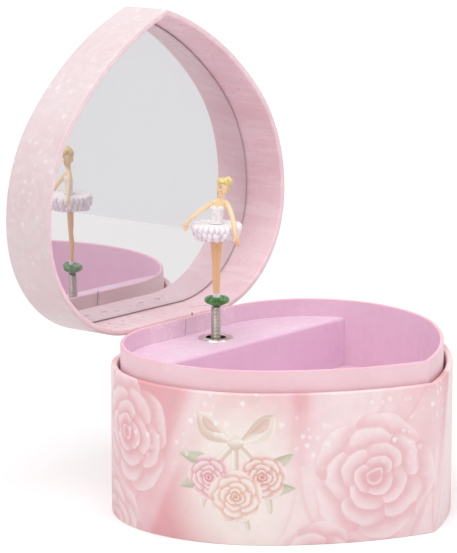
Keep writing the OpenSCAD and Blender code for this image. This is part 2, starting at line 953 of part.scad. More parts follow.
base_wall();
base_floor();
collar();
tray_floor();
stage_front();
stage_top();
stage_eyelet();
base_hinge_leaves();
lid_hinge_leaves();
hinge_pins();
hinge_rivets_base();
hinge_rivets_lid();
lid_wall();
lid_top();
mirror_backing();
mirror();
movement_bedplate();
movement_screws();
barrel_bridge();
barrel_drum();
barrel_cap();
output_spindle();
mainspring();
winding_arbor();
winding_key();
cylinder_brackets();
pinned_cylinder();
cylinder_arbor();
comb();
comb_seat();
comb_screws();
governor_housing();
governor_pinion();
stop_wire();
dancer_spring();
dancer_pad();
dancer_figure();
dancer_shoes();
dancer_bodice();
dancer_hair();
dancer_tutu();
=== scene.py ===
# %% [markdown]
# # A heart-shaped jewellery box with a turning dancer
#
# This notebook dresses a finished mechanical model: a card box whose plan is a rounded heart with a
# pointed front, a lid that holds a mirror, and a dancer on a spring over a clockwork movement.
# The shapes that carry and move are already fixed. What is left to make is what the eye sees:
# printed paper wrapped round board, silvered glass, wound wire, painted plastic and gathered net.
#
# Everything is in metres, in one frame: +Z is up, the hinges are at +Y, the point is towards -Y.

# %% Load the frame
import math

import bmesh
import bpy
from mathutils import Matrix, Vector


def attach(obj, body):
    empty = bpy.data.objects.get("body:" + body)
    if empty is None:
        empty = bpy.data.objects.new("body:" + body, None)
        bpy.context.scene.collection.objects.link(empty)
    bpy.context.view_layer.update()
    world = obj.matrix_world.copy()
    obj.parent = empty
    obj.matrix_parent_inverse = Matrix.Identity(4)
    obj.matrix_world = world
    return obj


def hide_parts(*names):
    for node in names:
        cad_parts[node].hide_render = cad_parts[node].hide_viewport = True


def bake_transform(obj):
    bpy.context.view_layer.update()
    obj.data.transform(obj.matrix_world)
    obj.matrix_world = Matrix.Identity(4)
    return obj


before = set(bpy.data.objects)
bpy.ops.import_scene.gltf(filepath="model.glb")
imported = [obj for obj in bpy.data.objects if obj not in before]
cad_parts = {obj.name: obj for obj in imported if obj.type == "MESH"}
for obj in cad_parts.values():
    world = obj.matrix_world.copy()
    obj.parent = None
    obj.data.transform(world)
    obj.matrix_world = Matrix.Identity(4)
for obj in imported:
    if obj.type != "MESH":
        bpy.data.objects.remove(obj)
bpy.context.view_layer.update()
MM = 0.001

# %% [markdown]
# ## Camera
#
# A long lens far away keeps the upright walls parallel, as a catalogue shows them. The camera is
# placed by two angles and a distance from a point inside the object, so it is easy to turn.

# %% Camera
VIEW_AZIMUTH = math.radians(-49.08)
VIEW_ELEVATION = math.radians(11.87)
VIEW_TARGET = Vector((0.0, -0.0268, 0.10075))
VIEW_DISTANCE = 1.44
FOCAL_MM = 200.3


def look_from(azimuth, elevation):
    """Direction from the target back to a camera or lamp."""
    flat = math.cos(elevation)
    return Vector((math.sin(azimuth) * flat, -math.cos(azimuth) * flat, math.sin(elevation)))


def aim(obj, place, target):
    obj.location = place
    obj.rotation_euler = (Vector(target) - Vector(place)).to_track_quat("-Z", "Y").to_euler()


camera_data = bpy.data.cameras.new("camera")
camera = bpy.data.objects.new("camera", camera_data)
bpy.context.scene.collection.objects.link(camera)
camera_data.lens = FOCAL_MM
camera_data.sensor_width = 36
camera_data.clip_start, camera_data.clip_end = 0.1, 50
aim(camera, VIEW_TARGET + look_from(VIEW_AZIMUTH, VIEW_ELEVATION) * VIEW_DISTANCE, VIEW_TARGET)
bpy.context.scene.camera = camera
print("camera stands", [round(c, 3) for c in camera.location])

# %% [markdown]
# ## Light, floor and backdrop
#
# The box stands in a white light tent: a big soft lamp high on the left, one overhead, a weaker
# one on the right, and a pale world that fills every shadow. The floor is white paper. It adds a
# glow of its own to what the camera sees, and a weaker one to what mirrors see, so it reads as
# white and still keeps the shadow. A grey wall on the right gives the mirror something to show.

# %% Soft studio
scene = bpy.context.scene
scene.view_settings.view_transform = "Standard"


def soft_lamp(name, azimuth, elevation, distance, size, watts):
    """A round lamp that looks at the box from two angles and a distance in metres."""
    data = bpy.data.lights.new(name, "AREA")
    data.shape = "DISK"
    data.size = size
    data.energy = watts
    lamp = bpy.data.objects.new(name, data)
    scene.collection.objects.link(lamp)
    aim(lamp, VIEW_TARGET + look_from(math.radians(azimuth), math.radians(elevation)) * distance, VIEW_TARGET)
    return lamp


soft_lamp("key_lamp", -76, 48, 1.3, 0.9, 4.0)
soft_lamp("fill_lamp", 18, 32, 1.5, 1.0, 2.7)
soft_lamp("top_lamp", -50, 84, 1.2, 0.9, 4.5)

world = bpy.data.worlds.new("tent")
scene.world = world
world.use_nodes = True
tent = world.node_tree
tent.nodes.clear()
tent_out = tent.nodes.new("ShaderNodeOutputWorld")
tent_fill = tent.nodes.new("ShaderNodeBackground")
tent_fill.inputs["Color"].default_value = (1.0, 0.985, 0.985, 1)
tent_fill.inputs["Strength"].default_value = 0.68
tent_seen = tent.nodes.new("ShaderNodeBackground")
tent_seen.inputs["Color"].default_value = (1, 1, 1, 1)
tent_mix = tent.nodes.new("ShaderNodeMixShader")
tent_rays = tent.nodes.new("ShaderNodeLightPath")


def any_seen_ray(tree, rays, mirror_share=1.0):
    """1 for camera and glass rays, mirror_share for mirror rays and 0 for the rays that light."""
    share = tree.nodes.new("ShaderNodeMath")
    share.operation = "MULTIPLY"
    share.inputs[1].default_value = mirror_share
    tree.links.new(rays.outputs["Is Glossy Ray"], share.inputs[0])
    first = tree.nodes.new("ShaderNodeMath")
    first.operation = "MAXIMUM"
    tree.links.new(rays.outputs["Is Camera Ray"], first.inputs[0])
    tree.links.new(share.outputs[0], first.inputs[1])
    second = tree.nodes.new("ShaderNodeMath")
    second.operation = "MAXIMUM"
    tree.links.new(first.outputs[0], second.inputs[0])
    tree.links.new(rays.outputs["Is Transmission Ray"], second.inputs[1])
    return second.outputs[0]


tent.links.new(any_seen_ray(tent, tent_rays), tent_mix.inputs[0])
tent.links.new(tent_fill.outputs[0], tent_mix.inputs[1])
tent.links.new(tent_seen.outputs[0], tent_mix.inputs[2])
tent.links.new(tent_mix.outputs[0], tent_out.inputs[0])


FLOOR_IN_MIRROR = 0.4


def floor_material():
    """White paper that glows a little more with distance, so that it runs into the backdrop."""
    material = bpy.data.materials.new("white_sweep")
    material.use_nodes = True
    tree = material.node_tree
    tree.nodes.clear()
    out = tree.nodes.new("ShaderNodeOutputMaterial")
    paper = tree.nodes.new("ShaderNodeBsdfDiffuse")
    paper.inputs["Color"].default_value = (0.86, 0.855, 0.86, 1)
    glow = tree.nodes.new("ShaderNodeEmission")
    glow.inputs["Color"].default_value = (1, 1, 1, 1)
    rays = tree.nodes.new("ShaderNodeLightPath")
    spot = tree.nodes.new("ShaderNodeTexCoord")
    away = tree.nodes.new("ShaderNodeVectorMath")
    away.operation = "LENGTH"
    tree.links.new(spot.outputs["Object"], away.inputs[0])
    rise = tree.nodes.new("ShaderNodeMapRange")
    rise.interpolation_type = "SMOOTHSTEP"
    for label, number in (("From Min", 0.15), ("From Max", 1.6), ("To Min", 0.2), ("To Max", 0.52)):
        rise.inputs[label].default_value = number
    tree.links.new(away.outputs["Value"], rise.inputs["Value"])
    strength = tree.nodes.new("ShaderNodeMath")
    strength.operation = "MULTIPLY"
    tree.links.new(rise.outputs["Result"], strength.inputs[1])
    tree.links.new(any_seen_ray(tree, rays, FLOOR_IN_MIRROR), strength.inputs[0])
    tree.links.new(strength.outputs[0], glow.inputs["Strength"])
    both = tree.nodes.new("ShaderNodeAddShader")
    tree.links.new(paper.outputs[0], both.inputs[0])
    tree.links.new(glow.outputs[0], both.inputs[1])
    tree.links.new(both.outputs[0], out.inputs[0])
    return material


floor_mesh = bpy.data.meshes.new("floor")
FLOOR_HALF = 8.0
floor_corners = [(x * FLOOR_HALF, y * FLOOR_HALF, 0) for x, y in ((-1, -1), (1, -1), (1, 1), (-1, 1))]
floor_mesh.from_pydata(floor_corners, [], [(0, 1, 2, 3)])
floor = bpy.data.objects.new("floor", floor_mesh)
scene.collection.objects.link(floor)
floor.data.materials.append(floor_material())

# a grey wall ends the floor on the right, where only the mirror and polished metal can see it
wall_mesh = bpy.data.meshes.new("studio_wall")
WALL_NEAR, WALL_FAR, WALL_HIGH = (0.085, -1.28), (0.565, 0.248), 0.7
wall_corners = [(*WALL_NEAR, 0), (*WALL_FAR, 0), (*WALL_FAR, WALL_HIGH), (*WALL_NEAR, WALL_HIGH)]
wall_mesh.from_pydata(wall_corners, [], [(0, 1, 2, 3)])
studio_wall = bpy.data.objects.new("studio_wall", wall_mesh)
scene.collection.objects.link(studio_wall)
wall_paint = bpy.data.materials.new("grey_wall")
wall_paint.use_nodes = True
wall_paint.node_tree.nodes.clear()
wall_glow = wall_paint.node_tree.nodes.new("ShaderNodeEmission")
wall_glow.inputs["Color"].default_value = (0.985, 0.985, 1.0, 1)
wall_glow.inputs["Strength"].default_value = 0.905
wall_out = wall_paint.node_tree.nodes.new("ShaderNodeOutputMaterial")
wall_paint.node_tree.links.new(wall_glow.outputs[0], wall_out.inputs[0])
wall_mesh.materials.append(wall_paint)
studio_wall.visible_camera = studio_wall.visible_diffuse = studio_wall.visible_shadow = False

# %% [markdown]
# ## Plan of the box
#
# Both halves of the box follow one plan: a straight back, two big rounded corners, flanks that
# draw in, and two long fronts that meet in a small rounded point. The maker would cut the board
# on a steel-rule die and bend it round a form, so every wall here is this one line moved in or out.

# %% Plan line
BACK_Y, BACK_HALF, TIP_R = 1.5, 29.0, 2.5
# each arc: radius, first and last direction in degrees, length in mm
ARCS = ((55.0, 90.0, 4.0, 82.0), (76.0, 4.0, -40.0, 58.0), (148.0, -40.0, None, 80.0))


def half_plan(grow, fine=1.5):
    """Right half of the plan in mm, from the middle of the back to the point, grown outwards."""
    points = [(BACK_HALF * k / 8, BACK_Y + grow) for k in range(8)]
    centre = Vector((BACK_HALF, BACK_Y - ARCS[0][0]))
    last_radius = ARCS[0][0]
    tip = max(TIP_R + grow, 0.35)
    for radius, first, last, span in ARCS:
        turn = Vector((math.cos(math.radians(first)), math.sin(math.radians(first))))
        centre = centre - turn * (radius - last_radius)
        last_radius = radius
        if last is None:
            reach = radius + grow - tip
            last = -math.degrees(math.acos(-centre.x / reach))
        steps = int(span / fine)
        for step in range(steps):
            angle = math.radians(first + (last - first) * step / steps)
            points.append((centre.x + (radius + grow) * math.cos(angle),
                           centre.y + (radius + grow) * math.sin(angle)))
    tip_y = centre.y - math.sqrt(reach * reach - centre.x * centre.x)
    for step in range(7):
        angle = math.radians(last + (-90 - last) * step / 6)
        points.append((tip * math.cos(angle), tip_y + tip * math.sin(angle)))
    return points


def whole_plan(grow):
    """The closed line, clockwise from the middle of the back, in metres."""
    right = half_plan(grow)
    left = [(-x, y) for x, y in reversed(right[1:-1])]
    return [(x * MM, y * MM) for x, y in right + left]


def lengths(line):
    """Running length along a closed line, starting at 0, with the full length last."""
    run = [0.0]
    for here, there in zip(line, line[1:] + line[:1]):
        run.append(run[-1] + math.dist(here, there))
    return run


outer_line = whole_plan(0)
ROUND = lengths(outer_line)[-1]
print("points:", len(outer_line), "round the box (mm):", round(ROUND / MM, 1))

# %% [markdown]
# ## Turning the lid into its open place
#
# The lid's pieces are drawn as if the lid were shut, then turned back about the hinge pin by the
# angle the stay holds it at. Drawing it shut keeps every offset readable.

# %% Lid helpers
HINGE_Y, HINGE_Z, LID_ANGLE = 6.4, 68.0, 91.2
LID_SHUT_Z = 69.3
LID_DEPTH = 27.4
OPENED = (Matrix.Translation((0, HINGE_Y * MM, HINGE_Z * MM))
          @ Matrix.Rotation(math.radians(-LID_ANGLE), 4, "X")
          @ Matrix.Translation((0, -HINGE_Y * MM, -HINGE_Z * MM)))


def new_piece(name, vertices, faces, transform=None):
    """A mesh piece in the scene, moved by a matrix where one is given."""
    mesh = bpy.data.meshes.new(name)
    mesh.from_pydata(vertices, [], faces)
    if transform is not None:
        mesh.transform(transform)
    piece = bpy.data.objects.new(name, mesh)
    scene.collection.objects.link(piece)
    return piece


def outward(piece):
    """Makes every face of a closed shell look outwards."""
    work = bmesh.new()
    work.from_mesh(piece.data)
    bmesh.ops.recalc_face_normals(work, faces=work.faces)
    work.to_mesh(piece.data)
    work.free()
    return piece


def shade(piece, smooth_angle=35):
    """Smooth faces, with crisp edges kept above the given angle."""
    mesh = piece.data
    limit = math.radians(smooth_angle)
    for polygon in mesh.polygons:
        polygon.use_smooth = True
    work = bmesh.new()
    work.from_mesh(mesh)
    for edge in work.edges:
        edge.smooth = len(edge.link_faces) != 2 or edge.calc_face_angle(0) < limit
    work.to_mesh(mesh)
    work.free()
    return piece


def bake(piece):
    """Runs a piece's modifiers and keeps the result as its plain mesh, which it returns."""
    graph = bpy.context.evaluated_depsgraph_get()
    mesh = bpy.data.meshes.new_from_object(piece.evaluated_get(graph))
    piece.modifiers.clear()
    piece.data = mesh
    return mesh


print("open lid turned by", LID_ANGLE, "degrees about y", HINGE_Y, "z", HINGE_Z)

# %% [markdown]
# ## Lofted shells
#
# A paper-wrapped wall is a strip with a closed cross-section carried round the plan. Each station
# of the section says how far out and how high it lies, and its place across the printed sheet. The
# rims are a little rounded, because paper folded over board never makes a sharp corner.

# %% Loft round the plan
def loft(name, section, wrap=True):
    """Carries a section [(grow mm, z mm, v)] round the plan and lays a sheet (u, v) over it."""
    base = whole_plan(0)
    run = lengths(base)
    rings = []
    for grow, z, *_ in section:
        line = whole_plan(grow)
        rings.append([(x, y, z * MM) for x, y in line])
    count = len(base)
    vertices = [point for ring in rings for point in ring]
    faces, sheet = [], []
    total = len(rings)
    spans = total if wrap else total - 1
    for k in range(spans):
        low, high = k, (k + 1) % total
        v_low = section[k][2]
        v_high = section[high][2] if high else section[0][3]
        for i in range(count):
            j = (i + 1) % count
            faces.append((low * count + i, low * count + j, high * count + j, high * count + i))
            u_i, u_j = run[i] / MM, run[i + 1] / MM
            sheet.append(((u_i, v_low), (u_j, v_low), (u_j, v_high), (u_i, v_high)))
    piece = new_piece(name, vertices, faces)
    layer = piece.data.uv_layers.new(name="sheet")
    for polygon, corners in zip(piece.data.polygons, sheet):
        for loop, uv in zip(polygon.loop_indices, corners):
            layer.data[loop].uv = (uv[0] / 100, uv[1] / 100)
    return piece


print("sheet units: 1 is 100 mm along the wall and 100 mm up it")

# %% [markdown]
# ## Node helpers
#
# Every finish is a small node tree. These helpers only save typing: one to add a node with its
# settings, one to make arithmetic, one to read a place on the piece.

# %% Shader helpers
def SRGB(r, g, b):
    """A colour given as eight-bit screen values, as the linear values that nodes take."""
    linear = [((c / 255 + 0.055) / 1.055) ** 2.4 if c > 10 else c / 255 / 12.92 for c in (r, g, b)]
    return (*linear, 1)


class Bench:
    """A node tree with short ways to add nodes and join them."""

    def __init__(self, tree):
        self.tree = tree

    def add(self, kind, **settings):
        node = self.tree.nodes.new(kind)
        for name, value in settings.items():
            setattr(node, name, value)
        return node

    def join(self, source, target):
        self.tree.links.new(source, target)

    def feed(self, value, target):
        if hasattr(value, "is_output"):
            self.join(value, target)
        else:
            target.default_value = value

    def math(self, operation, first, second=0.0, third=None):
        node = self.add("ShaderNodeMath", operation=operation)
        self.feed(first, node.inputs[0])
        self.feed(second, node.inputs[1])
        if third is not None:
            self.feed(third, node.inputs[2])
        return node.outputs[0]

    def vector(self, operation, first, second=(0, 0, 0)):
        node = self.add("ShaderNodeVectorMath", operation=operation)
        self.feed(first, node.inputs[0])
        if operation == "SCALE":
            self.feed(second, node.inputs["Scale"])
        else:
            self.feed(second, node.inputs[1])
        gives_number = operation in ("LENGTH", "DOT_PRODUCT", "DISTANCE")
        return node.outputs["Value" if gives_number else "Vector"]

    def mix(self, factor, first, second):
        node = self.add("ShaderNodeMix", data_type="RGBA")
        self.feed(factor, node.inputs["Factor"])
        self.feed(first, node.inputs[6])
        self.feed(second, node.inputs[7])
        return node.outputs[2]

    def remap(self, value, low, high, out_low=0.0, out_high=1.0, smooth=True):
        node = self.add("ShaderNodeMapRange", interpolation_type="SMOOTHSTEP" if smooth else "LINEAR")
        self.feed(value, node.inputs["Value"])
        for name, number in (("From Min", low), ("From Max", high), ("To Min", out_low),
                             ("To Max", out_high)):
            self.feed(number, node.inputs[name])
        return node.outputs["Result"]

    def noise(self, place, scale, detail=3.0, roughness=0.5, distortion=0.0, dims="3D"):
        node = self.add("ShaderNodeTexNoise", noise_dimensions=dims)
        self.feed(place, node.inputs["Vector"])
        node.inputs["Scale"].default_value = scale
        node.inputs["Detail"].default_value = detail
        node.inputs["Roughness"].default_value = roughness
        node.inputs["Distortion"].default_value = distortion
        return node.outputs["Fac"]

    def split(self, vector):
        node = self.add("ShaderNodeSeparateXYZ")
        self.feed(vector, node.inputs[0])
        return node.outputs[0], node.outputs[1], node.outputs[2]

    def combine(self, x, y, z=0.0):
        node = self.add("ShaderNodeCombineXYZ")
        for value, target in zip((x, y, z), node.inputs):
            self.feed(value, target)
        return node.outputs[0]

    def place(self):
        return self.add("ShaderNodeTexCoord").outputs["Object"]

    def sheet(self):
        return self.add("ShaderNodeUVMap", uv_map="sheet").outputs["UV"]

    def bump(self, height, strength, distance, normal=None):
        node = self.add("ShaderNodeBump")
        self.feed(height, node.inputs["Height"])
        node.inputs["Strength"].default_value = strength
        node.inputs["Distance"].default_value = distance
        if normal is not None:
            self.join(normal, node.inputs["Normal"])
        return node.outputs["Normal"]


def group(name, inputs, outputs):
    """A shared shader effect: its bench, and the sockets inside it."""
    tree = bpy.data.node_groups.new(name, "ShaderNodeTree")
    kinds = {"value": "NodeSocketFloat", "colour": "NodeSocketColor", "vector": "NodeSocketVector"}
    for label, kind, default in inputs:
        socket = tree.interface.new_socket(name=label, in_out="INPUT", socket_type=kinds[kind])
        if default is not None:
            socket.default_value = default
    for label, kind in outputs:
        tree.interface.new_socket(name=label, in_out="OUTPUT", socket_type=kinds[kind])
    bench = Bench(tree)
    return bench, bench.add("NodeGroupInput").outputs, bench.add("NodeGroupOutput").inputs


def use(bench, name, **values):
    """Puts a shared effect into a tree. Spaces in socket names are written as underscores."""
    node = bench.add("ShaderNodeGroup", node_tree=bpy.data.node_groups[name])
    for label, value in values.items():
        bench.feed(value, node.inputs[label.replace("_", " ")])
    return node.outputs


def finish_material(name):
    """An empty material with a Principled shader: its bench and the shader's inputs."""
    material = bpy.data.materials.new(name)
    material.use_nodes = True
    material.node_tree.nodes.clear()
    bench = Bench(material.node_tree)
    shader = bench.add("ShaderNodeBsdfPrincipled")
    out = bench.add("ShaderNodeOutputMaterial")
    bench.join(shader.outputs[0], out.inputs[0])
    return material, bench, shader.inputs


print("helpers ready")

# %% [markdown]
# ## Shared effect: printed paper
#
# Litho paper laid over board is never quite flat: fibres show in a raking light, the glue
# underneath makes slow swells, and the sheet rubs pale along folded edges and darkens a little
# where hands and dust settle. One group gives the height of that surface and two wear masks.

# %% Paper surface group
bench, given, result = group("paper surface",
                             [("Place", "vector", None), ("Fibre", "value", 1.0)],
                             [("Height", "value"), ("Rub", "value"), ("Dust", "value"), ("Mottle", "value")])
fibre = bench.noise(given["Place"], 2600, 3, 0.6)
long_fibre = bench.noise(bench.vector("MULTIPLY", given["Place"], (1, 1, 0.35)), 900, 2, 0.5, 1.2)
swell = bench.noise(given["Place"], 70, 2, 0.45)
height = bench.math("ADD", bench.math("MULTIPLY", fibre, 0.35), bench.math("MULTIPLY", long_fibre, 0.25))
height = bench.math("MULTIPLY", height, given["Fibre"])
bench.join(bench.math("ADD", height, bench.math("MULTIPLY", swell, 1.6)), result["Height"])
speck = bench.noise(given["Place"], 420, 4, 0.7)
bench.join(bench.remap(speck, 0.5, 0.68), result["Rub"])
bench.join(bench.remap(bench.noise(given["Place"], 38, 3, 0.6), 0.42, 0.75), result["Dust"])
bench.join(bench.noise(given["Place"], 160, 4, 0.55), result["Mottle"])

# %% [markdown]
# ## Shared effect: a field of small hearts
#
# Each cell of a jittered grid holds one heart, turned and sized a little differently. The heart is
# a drawn formula: two round lobes above and a point below, softened only at its very edge.

# %% Heart field group
bench, given, result = group("heart field",
                             [("Sheet", "vector", None), ("Scale", "value", 8.0), ("Size", "value", 0.3),
                              ("Share", "value", 0.6), ("Blur", "value", 0.06)],
                             [("Mask", "value"), ("Tone", "value")])
cells = bench.add("ShaderNodeTexVoronoi", voronoi_dimensions="2D", feature="F1")
bench.join(given["Sheet"], cells.inputs["Vector"])
bench.join(given["Scale"], cells.inputs["Scale"])
cells.inputs["Randomness"].default_value = 0.62
chance_x, chance_y, chance_z = bench.split(cells.outputs["Color"])
offset = bench.vector("SUBTRACT", bench.vector("SCALE", given["Sheet"], 1.0), cells.outputs["Position"])
offset = bench.vector("SCALE", offset, given["Scale"])
turn = bench.add("ShaderNodeVectorRotate", rotation_type="Z_AXIS")
bench.join(offset, turn.inputs["Vector"])
bench.join(bench.remap(chance_x, 0, 1, -0.5, 0.5, smooth=False), turn.inputs["Angle"])
heart_x, heart_y, _ = bench.split(turn.outputs["Vector"])
size = bench.math("MULTIPLY", given["Size"], bench.remap(chance_y, 0, 1, 0.55, 1.15, smooth=False))
side = bench.math("DIVIDE", bench.math("ABSOLUTE", heart_x), size)
up = bench.math("DIVIDE", heart_y, size)
# distance-like value of a heart: x^2 + (y - 0.68 sqrt|x|)^2, which is 1 on the outline
lift = bench.math("SUBTRACT", up, bench.math("MULTIPLY", bench.math("SQRT", side), 0.68))
field = bench.math("ADD", bench.math("MULTIPLY", side, side), bench.math("MULTIPLY", lift, lift))
mask = bench.math("SUBTRACT", 1.0, bench.remap(bench.math("SQRT", field),
                                               bench.math("SUBTRACT", 1.0, given["Blur"]),
                                               bench.math("ADD", 1.0, given["Blur"])))
bench.join(bench.math("MULTIPLY", mask, bench.math("LESS_THAN", chance_z, given["Share"])), result["Mask"])
bench.join(chance_y, result["Tone"])
print("groups:", [g.name for g in bpy.data.node_groups])

# %% [markdown]
# ## Shared effect: a rose head
#
# A rose seen from above is rings of petals, each ring lying over the one outside it. A petal is
# shaded where it dips under its neighbour and turns pale at its curled lip. One group draws a
# ring; the rose head stacks four of them, each a little smaller and turned.

# %% Petal ring group
bench, given, result = group("petal ring",
                             [("Reach", "value", 0.5), ("Angle", "value", 0.0), ("Outer", "value", 1.0),
                              ("Petals", "value", 5.0), ("Turn", "value", 0.0), ("Under", "value", 0.0),
                              ("Tone", "colour", None),
                              ("Deep", "colour", None), ("Pale", "colour", None)],
                             [("Tone", "colour"), ("Mask", "value")])
step = bench.math("ADD", bench.math("MULTIPLY", given["Angle"],
                                    bench.math("DIVIDE", given["Petals"], 2 * math.pi)), given["Turn"])
share = bench.math("FRACT", bench.math("ADD", step, 16.0))
belly = bench.math("POWER", bench.math("SINE", bench.math("MULTIPLY", share, math.pi)), 0.55)
rim = bench.math("MULTIPLY", given["Outer"], bench.math("MULTIPLY_ADD", belly, 0.17, 0.83))
out = bench.math("DIVIDE", given["Reach"], rim)
mask = bench.math("SUBTRACT", 1.0, bench.remap(out, 0.965, 1.01))
tone = bench.mix(bench.remap(out, 0.45, 0.93), given["Deep"], given["Pale"])
tuck = bench.math("SUBTRACT", 1.0, bench.remap(share, 0.02, 0.3))
tone = bench.mix(bench.math("MULTIPLY", tuck, 0.55), tone, given["Deep"])
lip = bench.math("MULTIPLY", bench.remap(out, 0.86, 0.95), bench.remap(share, 0.1, 0.5))
tone = bench.mix(bench.math("MULTIPLY", lip, 0.6), tone, SRGB(255, 240, 240))
fade = bench.math("SUBTRACT", 1.0, bench.remap(out, 1.03, 1.28))
below = bench.math("MULTIPLY", bench.remap(out, 1.0, 1.03), fade)
shaded = bench.mix(bench.math("MULTIPLY", bench.math("MULTIPLY", below, 0.5), given["Under"]),
                   given["Tone"], given["Deep"])
bench.join(bench.mix(mask, shaded, tone), result["Tone"])
bench.join(mask, result["Mask"])

# %% Rose head group
bench, given, result = group("rose head",
                             [("Spot", "vector", None), ("Seed", "value", 0.0), ("Deep", "colour", None),
                              ("Pale", "colour", None)],
                             [("Tone", "colour"), ("Mask", "value")])
waver = bench.noise(bench.vector("ADD", given["Spot"], bench.combine(given["Seed"], given["Seed"])), 1.6, 2,
                    0.5, dims="2D")
spot_x, spot_y, _ = bench.split(given["Spot"])
spot_x = bench.math("ADD", spot_x, bench.math("MULTIPLY_ADD", waver, 0.3, -0.15))
reach = bench.math("SQRT", bench.math("ADD", bench.math("MULTIPLY", spot_x, spot_x),
                                      bench.math("MULTIPLY", spot_y, spot_y)))
angle = bench.math("ARCTAN2", spot_y, spot_x)
tone, whole = given["Deep"], None
for outer, petals, turn, under in ((1.0, 5, 0.0, 0.0), (0.76, 5, 0.45, 1.0), (0.52, 4, 0.2, 1.0),
                                   (0.31, 3, 0.6, 1.0), (0.13, 2, 0.1, 1.0)):
    ring = use(bench, "petal ring", Reach=reach, Angle=angle, Outer=outer, Petals=petals,
               Turn=bench.math("ADD", given["Seed"], turn), Under=under, Tone=tone, Deep=given["Deep"],
               Pale=given["Pale"])
    tone = ring["Tone"]
    whole = whole or ring["Mask"]
bench.join(tone, result["Tone"])
bench.join(whole, result["Mask"])

# %% [markdown]
# ## Shared effect: a ribbon leaf
#
# One lens shape, round at the middle and drawn to its two ends. Turned and sized, it is a ribbon
# loop, a ribbon tail, a leaf or a bud. It also tells how far along and across a point lies.

# %% Ribbon leaf group
bench, given, result = group("ribbon leaf",
                             [("Sheet", "vector", None), ("Centre", "vector", None),
                              ("Angle", "value", 0.0), ("Length", "value", 0.2),
                              ("Width", "value", 0.05), ("Curl", "value", 0.0), ("Drawn", "value", 1.0),
                              ("Blunt", "value", 0.7)],
                             [("Mask", "value"), ("Along", "value"), ("Across", "value")])
away = bench.vector("SUBTRACT", given["Sheet"], given["Centre"])
turn = bench.add("ShaderNodeVectorRotate", rotation_type="Z_AXIS", invert=True)
bench.join(away, turn.inputs["Vector"])
bench.join(given["Angle"], turn.inputs["Angle"])
along, across, _ = bench.split(turn.outputs["Vector"])
along = bench.math("DIVIDE", along, given["Length"])
bow_out = bench.math("MULTIPLY", bench.math("SINE", bench.math("MULTIPLY", along, math.pi)), given["Curl"])
across = bench.math("DIVIDE", bench.math("SUBTRACT", across, bow_out), given["Width"])
inside = bench.math("MULTIPLY", bench.math("GREATER_THAN", along, 0.0), bench.math("LESS_THAN", along, 1.0))
drawn = bench.math("POWER", bench.math("MAXIMUM", along, 0.0), given["Drawn"])
arch = bench.math("SINE", bench.math("MULTIPLY", drawn, math.pi))
belly = bench.math("POWER", bench.math("MAXIMUM", arch, 0.0001), given["Blunt"])
across = bench.math("DIVIDE", across, belly)
soft = bench.math("SUBTRACT", 1.0, bench.remap(bench.math("ABSOLUTE", across), 0.86, 1.0))
bench.join(bench.math("MULTIPLY", soft, inside), result["Mask"])
bench.join(along, result["Along"])
bench.join(across, result["Across"])

# %% [markdown]
# ## Printed paper for the base
#
# The print is made in layers, as the separations of a litho sheet would be: broad satin folds in
# three pinks, big soft rose heads lying in the folds, a cream glow with a posy tied by a bow, and a
# dusting of tiny hearts under the rim. All of it is drawn on the sheet's own flat coordinates.
# A motif that repeats is drawn once: each point first finds the nearest place a motif may lie.

# %% Print layers
PINK_PALE = SRGB(251, 229, 231)
PINK_MID = SRGB(245, 205, 210)
PINK_DEEP = SRGB(236, 176, 182)
CREAM = SRGB(254, 246, 240)


def wait_for(bench, sheet, colour):
    """Ties a layer to the one below it, so the renderer works through them one after another."""
    return bench.vector("ADD", sheet, bench.vector("SCALE", colour, 1e-7))


def nearest(bench, sheet, places):
    """The sheet as seen from the nearest of several places (x, y, size), and that place's number."""
    best, spot, number = None, None, None
    for count, (x, y, size) in enumerate(places):
        local = bench.vector("SCALE", bench.vector("SUBTRACT", sheet, (x, y, 0)), 1 / size)
        reach = bench.vector("LENGTH", local)
        if best is None:
            best, spot, number = reach, local, bench.math("ADD", 0.0, 0.0)
            continue
        closer = bench.math("LESS_THAN", reach, best)
        choice = bench.add("ShaderNodeMix", data_type="VECTOR")
        bench.join(closer, choice.inputs["Factor"])
        bench.join(spot, choice.inputs[4])
        bench.join(local, choice.inputs[5])
        spot = choice.outputs[1]
        number = bench.math("MAXIMUM", number, bench.math("MULTIPLY", closer, count * 1.37))
        best = bench.math("MINIMUM", best, reach)
    return spot, number


FOLD_WIDE = 2.3


def satin(bench, sheet):
    """Broad hanging folds: pale crests, rosy hollows and a few sharp creases."""
    x, y, _ = bench.split(sheet)
    lean = bench.combine(bench.math("MULTIPLY_ADD", y, 0.3, x), bench.math("MULTIPLY", y, 0.28))
    broad = bench.noise(lean, FOLD_WIDE, 2, 0.4, 0.7, "2D")
    crease = bench.math("ABSOLUTE", bench.math("MULTIPLY_ADD",
                                               bench.noise(lean, FOLD_WIDE * 1.3, 1, 0.4, 1.1,
                                                           "2D"), 2.0, -1.0))
    crease = bench.math("SUBTRACT", 1.0, bench.remap(crease, 0.0, 0.1))
    colour = bench.mix(bench.remap(broad, 0.34, 0.52), PINK_DEEP, PINK_MID)
    colour = bench.mix(bench.remap(broad, 0.48, 0.68), colour, PINK_PALE)
    return bench.mix(bench.math("MULTIPLY", crease, 0.3), colour, PINK_DEEP)


def lay_rose(bench, spot, colour, seed, strength, pale, deep):
    """Prints a rose head over the colour below it."""
    rose = use(bench, "rose head", Spot=wait_for(bench, spot, colour), Seed=seed, Pale=pale, Deep=deep)
    return bench.mix(bench.math("MULTIPLY", rose["Mask"], strength), colour, rose["Tone"])


